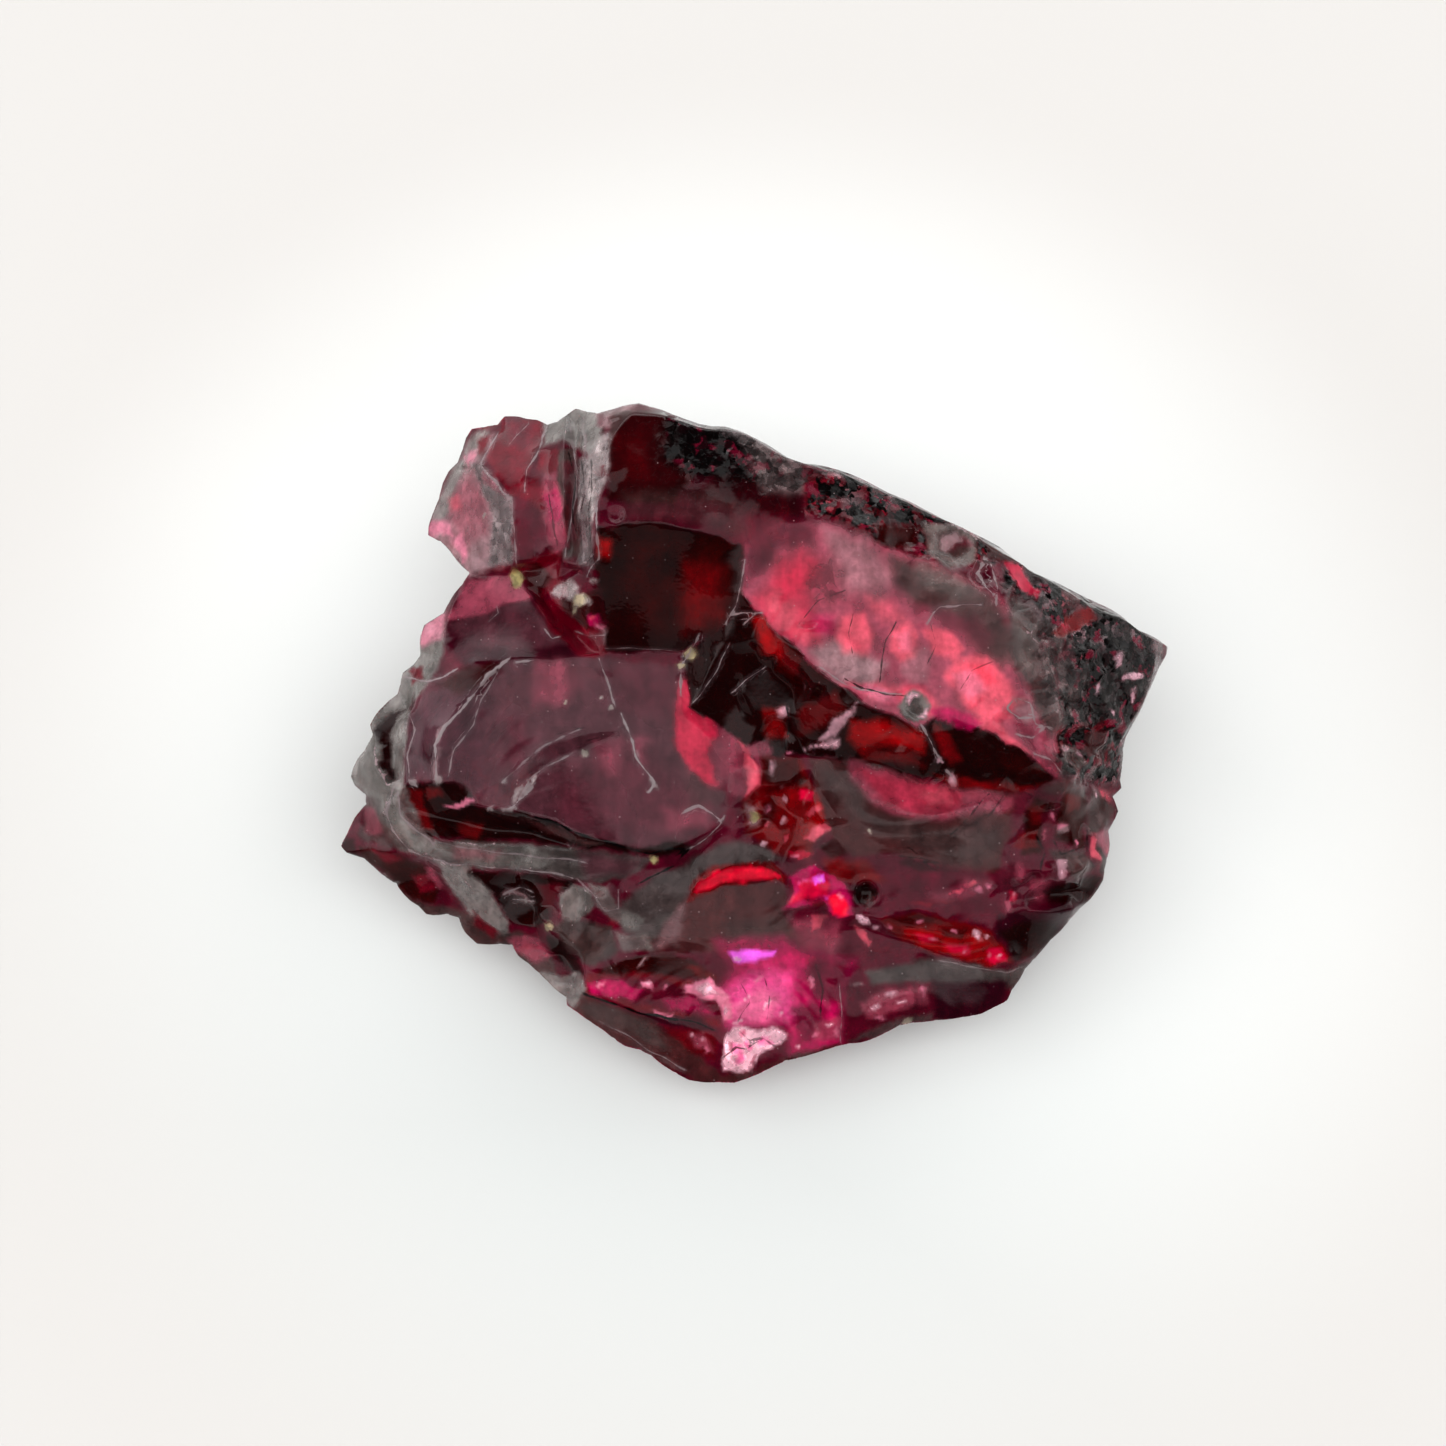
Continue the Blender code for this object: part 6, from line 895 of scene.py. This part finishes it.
def divide(stone, upper_cuts, lower_cuts):
    """Fine faces on the upper side, and coarser ones below."""
    for cuts, upper in ((upper_cuts, True), (lower_cuts, False)):
        looks_up = face_normals(stone.data) @ OUT_OF_THE_PLANE > 0
        select_faces(stone.data, looks_up == upper)
        bpy.ops.object.mode_set(mode="EDIT")
        bpy.ops.mesh.subdivide(number_cuts=cuts)
        bpy.ops.mesh.select_all(action="SELECT")
        bpy.ops.mesh.quads_convert_to_tris()
        bpy.ops.object.mode_set(mode="OBJECT")


def wander(points, size, amount):
    """A smooth random offset for each point, that changes over a length of size."""
    return np.array([noise.noise_vector(Vector(point / size)) for point in points]) * amount


def finish_row(name):
    """A finish as one row of numbers."""
    colour, *rest = FINISHES[name]
    return np.array((*colour, *rest))


def lay_over(coat, cover, finish):
    """The coat of paint with a finish over it, where cover is more than 0."""
    cover = cover[:, None]
    return coat * (1 - cover) + finish * cover


def paint_upper_side(points):
    """The patches one over the other, their borders a little uneven, and where each point falls."""
    places = on_the_drawing(points)
    places = places + wander(points, 0.45, 0.10)[:, :2] + wander(points, 0.13, 0.035)[:, :2]
    coat = np.tile(finish_row("plum"), (len(points), 1))
    for finish, strength, softness, corners in PATCHES:
        low = np.array(corners).min(axis=0) - softness
        high = np.array(corners).max(axis=0) + softness
        near = np.flatnonzero(((places > low) & (places < high)).all(axis=1))
        cover = strength * patch_cover(places[near], corners, softness)
        coat[near] = lay_over(coat[near], cover, finish_row(finish))
    return places, coat


def paint_underside(points):
    """Broken faces of wine red, plum and near black, redder in front, with spots of crust over them."""
    rows = np.array([finish_row(name) for name in UNDERSIDE])
    picked = np.zeros(len(points), dtype=int)
    for number, point in enumerate(points + wander(points, 0.5, 0.25)):
        middle = noise.voronoi(Vector(point / FLAKE_BELOW))[1][0]
        draw = abs(noise.cell(middle * 40.0))  # a number from 0 to 1 that belongs to the flake
        picked[number] = int(draw * 1000.0) % len(rows)
    front = smooth_step(-points[:, 1], 5.5, 8.0)
    coat = lay_over(rows[picked], 0.8 * front, finish_row("magenta"))
    crust = np.array([noise.fractal(Vector(point / CRUST_BELOW), 0.8, 2.0, 4) for point in points])
    return lay_over(coat, 0.7 * smooth_step(crust, 0.20, 0.45), finish_row("clot"))


def nearest_line(places, lines):
    """The line nearest to each place: how far off, with a sign for its side, its width and strength."""
    fade_start, fade_end = 0.03, 0.10  # past the width of a line, and past its ends
    found = np.tile((0.5, 0.03, 0.0), (len(places), 1))
    for strength, width, line in lines:
        corners = np.array(line)
        for number, (a, b) in enumerate(zip(corners[:-1], corners[1:])):
            along = b - a
            length = np.hypot(*along)
            off = (places - a) @ np.array((-along[1], along[0])) / length
            share = (places - a) @ along / length**2
            before = np.maximum(-share, 0.0) * length
            beyond = np.maximum(share - 1.0, 0.0) * length
            first, last = number == 0, number == len(corners) - 2
            away = np.hypot(off, before * (not first) + beyond * (not last))
            past_end = before * first + beyond * last
            nearer = (away < np.abs(found[:, 0])) & (away < width + fade_end) & (past_end < 0.12)
            fade = 1 - smooth_step(away, width + fade_start, width + fade_end)
            fade = strength * fade * (1 - smooth_step(past_end, 0.0, fade_end))
            found[nearer, 0] = np.copysign(away, off)[nearer]
            found[nearer, 1] = width
            found[nearer, 2] = fade[nearer]
    return found


def convex_edges(mesh, points, normals):
    """How much each point stands out: 1 on a sharp ridge, 0 on a face or in a hollow."""
    ends = edge_ends(mesh)
    around = np.zeros_like(points)
    count = np.zeros(len(points))
    for here, there in ((0, 1), (1, 0)):
        np.add.at(around, ends[:, here], points[ends[:, there]])
        np.add.at(count, ends[:, here], 1)
    length = np.linalg.norm(points[ends[:, 0]] - points[ends[:, 1]], axis=1).mean()
    rise = ((points - around / count[:, None]) * normals).sum(axis=1) / length
    return smooth_step(rise, 0.06, 0.20)


def glint_cover(places, across, up, length, width, turn):
    """How much a glint covers each place: an oval with a soft border."""
    right, back = places[:, 0] - across, places[:, 1] - up
    turn = math.radians(turn)
    along = (right * math.cos(turn) + back * math.sin(turn)) / length
    aside = (back * math.cos(turn) - right * math.sin(turn)) / width
    return GLINT_STRENGTH * (1 - smooth_step(np.hypot(along, aside), 0.5, 1.5))


def store(mesh, name, values):
    """Keeps a number or three for each point of the mesh under a name."""
    kind, field = ("FLOAT", "value") if values.ndim == 1 else ("FLOAT_VECTOR", "vector")
    layer = mesh.attributes.new(name, kind, "POINT")
    layer.data.foreach_set(field, values.astype(np.float32).reshape(-1))


def paint(stone):
    """Gives each point its body colour, with the painted glows, reflections, shade and glints in it,
    its finish, the lines near it and how its face leans.
    """
    mesh = stone.data
    points, normals = points_of(mesh), point_normals(mesh)
    facing = normals @ OUT_OF_THE_PLANE
    upper = facing > 0
    places, coat = paint_upper_side(points)
    places = places[upper]
    below = smooth_step(-facing - wander(points, 0.9, 0.25)[:, 0], 0.0, 0.12)
    below[upper] = 0.0
    coat = lay_over(coat, below, paint_underside(points))
    # pale sharp edges: partly wear, partly a painted highlight
    pale = convex_edges(mesh, points, normals) * coat[:, EDGE]
    for across, up, radius, yellow in GRAINS:
        cover = 1 - smooth_step(distance_to_spot(places, across, up), radius * 0.7, radius * 1.2)
        coat[upper] = lay_over(coat[upper], cover, PALE_GRAIN + yellow * YELLOWER)
    # painted highlights: the glints, with dark nicks among them
    for finish, *oval in GLINTS:
        coat[upper] = lay_over(coat[upper], glint_cover(places, *oval), finish_row(finish))
    store(mesh, "body", coat[:, COLOUR])
    store(mesh, "finish", np.stack((coat[:, ROUGH], coat[:, GRAIN], pale), axis=1))
    tilt = np.zeros(len(points))
    cliff = patch_cover(places, CLIFF, 0.05) * smooth_step(places[:, 0], 1.6, 3.0)
    tilt[upper] = patch_cover(places, WINDOW, 0.05) - cliff
    store(mesh, "tilt", tilt)
    steady = on_the_drawing(points[upper]) + wander(points[upper], 0.7, 0.07)[:, :2]
    for name, lines in (("chip_highlight", PALE_EDGES), ("crack", DARK_CRACKS)):
        found = np.zeros((len(points), 3))
        found[upper] = nearest_line(steady, lines)
        store(mesh, name, found)


def set_points(mesh, points):
    mesh.vertices.foreach_set("co", (points * MM).astype(np.float32).reshape(-1))
    mesh.update()


def nudge_outline(stone):
    """Moves the outline a little, by the table of nudges."""
    points = points_of(stone.data)
    places = on_the_drawing(points)
    shift = np.zeros_like(places)
    for across, up, reach, right, back in NUDGES:
        share = 1 - smooth_step(distance_to_spot(places, across, up), 0.0, reach)
        shift += share[:, None] * np.array((right, back))
    points[:, 0] += shift[:, 0]
    points[:, 1] += shift[:, 1] / math.sin(LEAN)
    set_points(stone.data, points)


def carve(stone):
    """Presses the ripples of the break and the round chips into the fine faces."""
    mesh = stone.data
    points, normals = points_of(mesh), point_normals(mesh)
    upper = np.flatnonzero(normals @ OUT_OF_THE_PLANE > 0)
    places = on_the_drawing(points[upper])
    rise = np.zeros(len(upper))
    for across, up, crest, height, outline in RIPPLES:
        cover = patch_cover(places, outline, 0.35)
        reach = distance_to_spot(places, across, up)
        drift = np.array([noise.noise(Vector(point)) for point in points[upper] / 1.4]) * 0.8
        rise += cover * height * np.sin(2 * math.pi * (reach / crest + drift))
    for across, up, radius, depth in CHIPS:
        reach = distance_to_spot(places, across, up) / radius
        rise -= depth * (1 - smooth_step(reach, 0.2, 1.0))
        rise += 0.25 * depth * np.clip(1 - np.abs(reach - 1.1) / 0.35, 0.0, 1.0)
    points[upper] += normals[upper] * rise[:, None]
    set_points(mesh, points)


def refine(stone):
    """Fine faces, smooth between the ridges."""
    nudge_outline(stone)
    divide(stone, FINE_CUTS, COARSE_CUTS)
    ridge = sharp_points(stone.data)
    put_in_group(stone, "faces", np.where(ridge, 0.0, 1.0))
    apply_modifier(stone, "even", "SMOOTH", factor=0.5, iterations=16, vertex_group="faces")
    apply_modifier(stone, "ease", "SMOOTH", factor=0.5, iterations=1)
    stone.vertex_groups.clear()
    carve(stone)
    bpy.ops.object.mode_set(mode="EDIT")
    bpy.ops.mesh.select_all(action="SELECT")
    bpy.ops.mesh.mark_sharp(clear=True)
    bpy.ops.object.mode_set(mode="OBJECT")
    bpy.ops.object.shade_smooth_by_angle(angle=SMOOTH_ANGLE)


class Nodes:
    """Places nodes in one tree and joins them."""

    def __init__(self, tree):
        self.tree = tree

    def add(self, kind, inputs=None, **settings):
        node = self.tree.nodes.new(kind)
        for setting, value in settings.items():
            setattr(node, setting, value)
        for socket, value in (inputs or {}).items():
            self.fill(node.inputs[socket], value)
        return node

    def fill(self, socket, value):
        if isinstance(value, bpy.types.NodeSocket):
            self.tree.links.new(value, socket)
        else:
            socket.default_value = value

    def math(self, operation, *values):
        return self.add("ShaderNodeMath", dict(enumerate(values)), operation=operation).outputs[0]

    def vector_math(self, operation, first, second):
        """The sum, difference or dot product of two vectors, or the first scaled by a number."""
        other = "Scale" if operation == "SCALE" else 1
        node = self.add("ShaderNodeVectorMath", {0: first, other: second}, operation=operation)
        return node.outputs["Value" if operation == "DOT_PRODUCT" else "Vector"]

    def span(self, value, low, high, to_low=0.0, to_high=1.0, curve="LINEAR"):
        """The value taken from one range to another, and held at its ends."""
        ranges = dict(enumerate((value, low, high, to_low, to_high)))
        return self.add("ShaderNodeMapRange", ranges, interpolation_type=curve).outputs[0]

    def around_middle(self, value, low, high):
        """A noise, which keeps near a half, taken to a range of its own."""
        return self.span(value, 0.3, 0.7, low, high)

    def lerp(self, share, first, second):
        node = self.add("ShaderNodeMix", {0: share, 4: first, 5: second}, data_type="VECTOR")
        return node.outputs[1]

    def mix(self, share, first, second, kind="MIX"):
        colours = {0: share, 6: first, 7: second}
        return self.add("ShaderNodeMix", colours, data_type="RGBA", blend_type=kind).outputs[2]

    def noise(self, place, scale, detail, **more):
        inputs = {"Vector": place, "Scale": scale, "Detail": detail, **more}
        return self.add("ShaderNodeTexNoise", inputs).outputs

    def parts(self, vector):
        """The three numbers of a vector or a colour."""
        return self.add("ShaderNodeSeparateXYZ", {0: vector}).outputs

    def stored(self, name, kind="Vector"):
        return self.add("ShaderNodeAttribute", attribute_name=name).outputs[kind]


def flakes(nodes, place, per_mm, seed):
    """Small flat breaks, each leaning its own way: their height in millimetres and a random share."""
    warp = nodes.noise(place, per_mm * 0.8, 0.0)["Color"]
    spot = nodes.vector_math("SCALE", place, per_mm)
    spot = nodes.vector_math("ADD", spot, nodes.vector_math("SCALE", warp, 0.51))
    spot = nodes.vector_math("ADD", spot, (seed, seed, seed))
    cell = nodes.add("ShaderNodeTexVoronoi", {"Vector": spot, "Scale": 1.0}).outputs
    lean = nodes.vector_math("SUBTRACT", cell["Color"], (0.5, 0.5, 0.5))
    off = nodes.vector_math("SUBTRACT", spot, cell["Position"])
    rise = nodes.vector_math("DOT_PRODUCT", lean, off)
    return nodes.math("DIVIDE", rise, per_mm), nodes.parts(cell["Color"])[0]


def drift_of_colour(nodes, place, fine, grain, large_share, small_share):
    """The body colour drifts over the stone, and jumps from flake to flake on rough parts."""
    broad = nodes.around_middle(nodes.noise(place, 1.8, 3.0)[0], 0.75, 1.3)
    drift = nodes.math("MULTIPLY", broad, nodes.around_middle(fine, 0.88, 1.12))
    stretch = {"Vector": place, "Rotation": (0.0, 0.0, 0.25), "Scale": (2.6, 0.55, 0.55)}
    drawn = nodes.noise(nodes.add("ShaderNodeMapping", stretch).outputs[0], 1.0, 3.0)[0]
    drift = nodes.math("MULTIPLY", drift, nodes.around_middle(drawn, 0.80, 1.22))
    jump = nodes.span(large_share, 0.0, 1.0, 0.4, 1.5)
    jump = nodes.math("MULTIPLY", jump, nodes.span(small_share, 0.0, 1.0, 0.3, 1.7))
    drift = nodes.math("MULTIPLY", drift, nodes.span(grain, 0.08, 0.6, 1.0, jump))
    return nodes.add("ShaderNodeCombineXYZ", {0: drift, 1: drift, 2: drift}).outputs[0]


def lines_and_cracks(nodes, place, colour):
    """Thin bright lines where an edge has chipped, partly a painted highlight with a painted sheen
    beside it, and dark ones where a crack runs in.
    """
    nicks = nodes.noise(place, 3.2, 2.0)[0]
    for name, tone in (("chip_highlight", CHIPPED_LINE_AND_HIGHLIGHT), ("crack", CRACK)):
        away, width, strength = nodes.parts(nodes.stored(name))
        away = nodes.math("ABSOLUTE", away)
        if name == "chip_highlight":
            # a painted sheen beside the bright lines
            painted_sheen = nodes.math("MULTIPLY", nodes.span(away, 0.0, 0.12, 0.30, 0.0), strength)
            colour = nodes.mix(painted_sheen, colour, PAINTED_SHEEN_BESIDE_CHIPS)
        width = nodes.math("MULTIPLY", width, nodes.span(nicks, 0.38, 0.66, 0.05, 0.85))
        line = nodes.span(nodes.math("DIVIDE", away, width), 0.6, 1.3, 1.0, 0.0, "SMOOTHSTEP")
        colour = nodes.mix(nodes.math("MULTIPLY", line, strength), colour, tone)
    return colour


def crust_and_dust(nodes, place, grain, colour):
    """Clear red grains and black pits in the crust, dust in its hollows, specks on the smooth faces."""
    crusted = nodes.span(grain, 0.45, 0.70)
    reddish = nodes.parts(nodes.noise(place, 2.0, 2.0)[1])[1]
    pitted = nodes.noise(place, 2.6, 4.0, Roughness=0.6)[0]
    reddish = nodes.span(reddish, 0.54, 0.60, 0.0, 0.75, "SMOOTHSTEP")
    pitted = nodes.span(pitted, 0.49, 0.525, 0.0, 1.0, "SMOOTHSTEP")
    colour = nodes.mix(nodes.math("MULTIPLY", reddish, crusted), colour, CLEAR_RED_GRAIN)
    colour = nodes.mix(nodes.math("MULTIPLY", pitted, crusted), colour, BLACK_PIT)
    crumb = nodes.add("ShaderNodeTexVoronoi", {"Vector": place, "Scale": 4.5}, feature="F1").outputs
    dust = nodes.math("ADD", crumb["Distance"], nodes.span(grain, 0.4, 0.9, 0.5, 0.10))
    colour = nodes.mix(nodes.span(dust, 0.10, 0.20, 0.7, 0.0), colour, DUST)
    picked = nodes.span(nodes.parts(crumb["Color"])[0], 0.70, 0.72)
    speck = nodes.math("MULTIPLY", nodes.span(crumb["Distance"], 0.06, 0.13, 0.55, 0.0), picked)
    return nodes.mix(speck, colour, SPECK)


def broken_surface(nodes, place, grain, large, small):
    """The flakes as bumps, with the window leaning to the front and the cliff to the back."""
    height = nodes.math("MULTIPLY", large, 0.45)
    height = nodes.math("ADD", height, nodes.math("MULTIPLY", small, 0.65))
    flaky = nodes.math("MULTIPLY", grain, nodes.span(grain, 0.06, 0.20))
    height = nodes.math("MULTIPLY", height, flaky)
    ripple = nodes.span(grain, 0.0, 1.0, 0.002, 0.02)
    ripple = nodes.math("MULTIPLY", nodes.noise(place, 7.0, 1.0)[0], ripple)
    height = nodes.math("ADD", height, ripple)
    normal = nodes.add("ShaderNodeBump", {"Height": height, "Distance": MM}).outputs[0]
    tilt = nodes.stored("tilt", "Fac")
    _, depth, level = nodes.parts(place)
    for sign, axis, slope in ((1.0, depth, WINDOW_SLOPE), (-1.0, level, CLIFF_SLOPE)):
        leaning = {"Height": nodes.math("MULTIPLY", axis, slope), "Normal": normal, "Distance": MM}
        share = nodes.math("MAXIMUM", nodes.math("MULTIPLY", tilt, sign), 0.0)
        normal = nodes.lerp(share, normal, nodes.add("ShaderNodeBump", leaning).outputs[0])
    return normal


def stone_material():
    material = bpy.data.materials.new("painite")
    material.use_nodes = True
    nodes = Nodes(material.node_tree)
    place = nodes.add("ShaderNodeTexCoord").outputs["Object"]
    place = nodes.vector_math("SCALE", place, 1 / MM)
    rough, grain, pale = nodes.parts(nodes.stored("finish"))
    fine = nodes.noise(place, 7.0, 4.0)[0]
    large, large_share = flakes(nodes, place, 1.7, 3.2)
    small, small_share = flakes(nodes, place, 4.6, 11.2)

    drift = drift_of_colour(nodes, place, fine, grain, large_share, small_share)
    # the body colour carries the painted glows, reflections and shade of the patches
    colour = nodes.mix(1.0, nodes.stored("body"), drift, "MULTIPLY")
    # painted highlight along the sharp edges, partly wear
    worn_and_highlit = nodes.math("ADD", pale, nodes.around_middle(fine, -0.45, 0.25))
    worn_and_highlit = nodes.span(worn_and_highlit, 0.45, 0.80, 0.0, 1.0, "SMOOTHSTEP")
    colour = nodes.mix(worn_and_highlit, colour, WORN_AND_HIGHLIT_EDGE)
    colour = lines_and_cracks(nodes, place, colour)
    colour = crust_and_dust(nodes, place, grain, colour)

    uneven = nodes.math("MULTIPLY", grain, nodes.around_middle(fine, -0.15, 0.15))
    roughness = nodes.math("ADD", rough, uneven)
    roughness = nodes.math("ADD", roughness, nodes.math("MULTIPLY", worn_and_highlit, 0.25))

    shader = material.node_tree.nodes["Principled BSDF"].inputs
    nodes.fill(shader["Base Color"], colour)
    nodes.fill(shader["Roughness"], nodes.math("MAXIMUM", roughness, 0.03))
    nodes.fill(shader["Normal"], broken_surface(nodes, place, grain, large, small))
    shader["Transmission Weight"].default_value = CLEARNESS
    shader["IOR"].default_value = PAINITE_IOR
    shader["Specular Tint"].default_value = GLANCE
    inside = nodes.add("ShaderNodeVolumeAbsorption", {"Color": DEPTH_COLOUR, "Density": DEPTH_DENSITY})
    nodes.fill(material.node_tree.nodes["Material Output"].inputs["Volume"], inside.outputs[0])
    return material


def floor_material():
    """A painted halo of light near the stone, painted light behind it and on its right and a painted
    shadow in front of it; duller and warmer further out.
    """
    material = bpy.data.materials.new("pale_floor_painted_light")
    material.use_nodes = True
    nodes = Nodes(material.node_tree)
    place = nodes.add("ShaderNodeTexCoord").outputs["Object"]
    reach = nodes.add("ShaderNodeVectorMath", {0: place}, operation="LENGTH").outputs["Value"]
    # painted light and shade on the floor: a halo near the stone, light behind, a shadow in front
    far_off = nodes.span(reach, 0.010, 0.026, 0.0, 1.0, "SMOOTHSTEP")
    across, depth, _ = nodes.parts(place)
    to_right = nodes.math("MULTIPLY", nodes.math("MAXIMUM", across, 0.0), 0.8)
    behind = nodes.span(nodes.math("ADD", depth, to_right), -0.010, 0.010)
    near = nodes.mix(behind, FLOOR_PAINTED_SHADOW_IN_FRONT, FLOOR_PAINTED_LIGHT_BEHIND)
    shader = material.node_tree.nodes["Principled BSDF"].inputs
    nodes.fill(shader["Base Color"], nodes.mix(far_off, near, FLOOR_FAR_OFF))
    shader["Roughness"].default_value = 0.8
    return material


def studio():
    """Soft light: a broad panel above the viewer, a brighter one on the left, more behind and right."""
    world = bpy.data.worlds.new("studio")
    bpy.context.scene.world = world
    world.use_nodes = True
    nodes = Nodes(world.node_tree)
    direction = nodes.add("ShaderNodeTexCoord").outputs["Generated"]
    across, depth, height = nodes.parts(direction)

    def panel(*edges, strength):
        """A soft panel of light: each edge is a value with where it is dark and where it is bright."""
        for value, dark, bright in edges:
            share = nodes.span(value, dark, bright, 0.0, 1.0, "SMOOTHSTEP")
            strength = nodes.math("MULTIPLY", share, strength)
        return strength

    above = panel((depth, 0.24, 0.00), (depth, -0.82, -0.58), (height, 0.35, 0.60), strength=2.2)
    left = panel((across, -0.30, -0.65), (depth, 0.60, 0.25), (depth, -0.65, -0.35),
                 (height, -0.02, 0.22), strength=2.5)
    right = panel((across, 0.45, 0.75), (depth, -0.45, -0.10), strength=1.62)
    behind = panel((depth, 0.15, 0.45), (height, 0.60, 0.40), strength=2.0)
    light = 0.12  # the least that comes from anywhere
    for lit in (above, left, right, behind):
        light = nodes.math("MAXIMUM", light, lit)
    background = world.node_tree.nodes["Background"].inputs
    nodes.fill(background["Strength"], light)
    background["Color"].default_value = (1.0, 1.0, 1.0, 1.0)


def floor():
    deselect_all()
    bpy.ops.mesh.primitive_plane_add(size=2.0)
    plane = bpy.context.object
    plane.name = "pale_floor_painted_light"
    plane.data.materials.append(floor_material())


def camera():
    """Stands in front, 20 degrees from overhead, with a long lens."""
    focal_length, film_width, width_seen = 70.0, 36.0, 41.3
    aim = Vector((-0.89, -0.1, 5.0))
    raised = 0.54
    lens = bpy.data.cameras.new("camera")
    lens.lens = focal_length
    lens.sensor_width = film_width
    lens.clip_start = 0.001
    stand = bpy.data.objects.new("camera", lens)
    bpy.context.collection.objects.link(stand)
    back = Vector(OUT_OF_THE_PLANE)
    up = Vector((0.0, math.sin(LEAN), math.cos(LEAN)))
    distance = width_seen / film_width * focal_length
    stand.location = (aim + up * raised + back * distance) * MM
    stand.rotation_euler = (-back).to_track_quat("-Z", "Y").to_euler()
    bpy.context.scene.camera = stand


noise.seed_set(7)  # the borders wander the same way every time
stone = copy_of_the_solid()
refine(stone)
paint(stone)
stone.data.materials.clear()
stone.data.materials.append(stone_material())
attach(stone, "root")
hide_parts("crystal")

floor()
studio()
camera()

scene = bpy.context.scene
scene.view_settings.view_transform = "Standard"
scene.view_settings.exposure = 0.72
scene.view_settings.gamma = 0.77
scene.cycles.max_bounces = 6
scene.cycles.transmission_bounces = 6
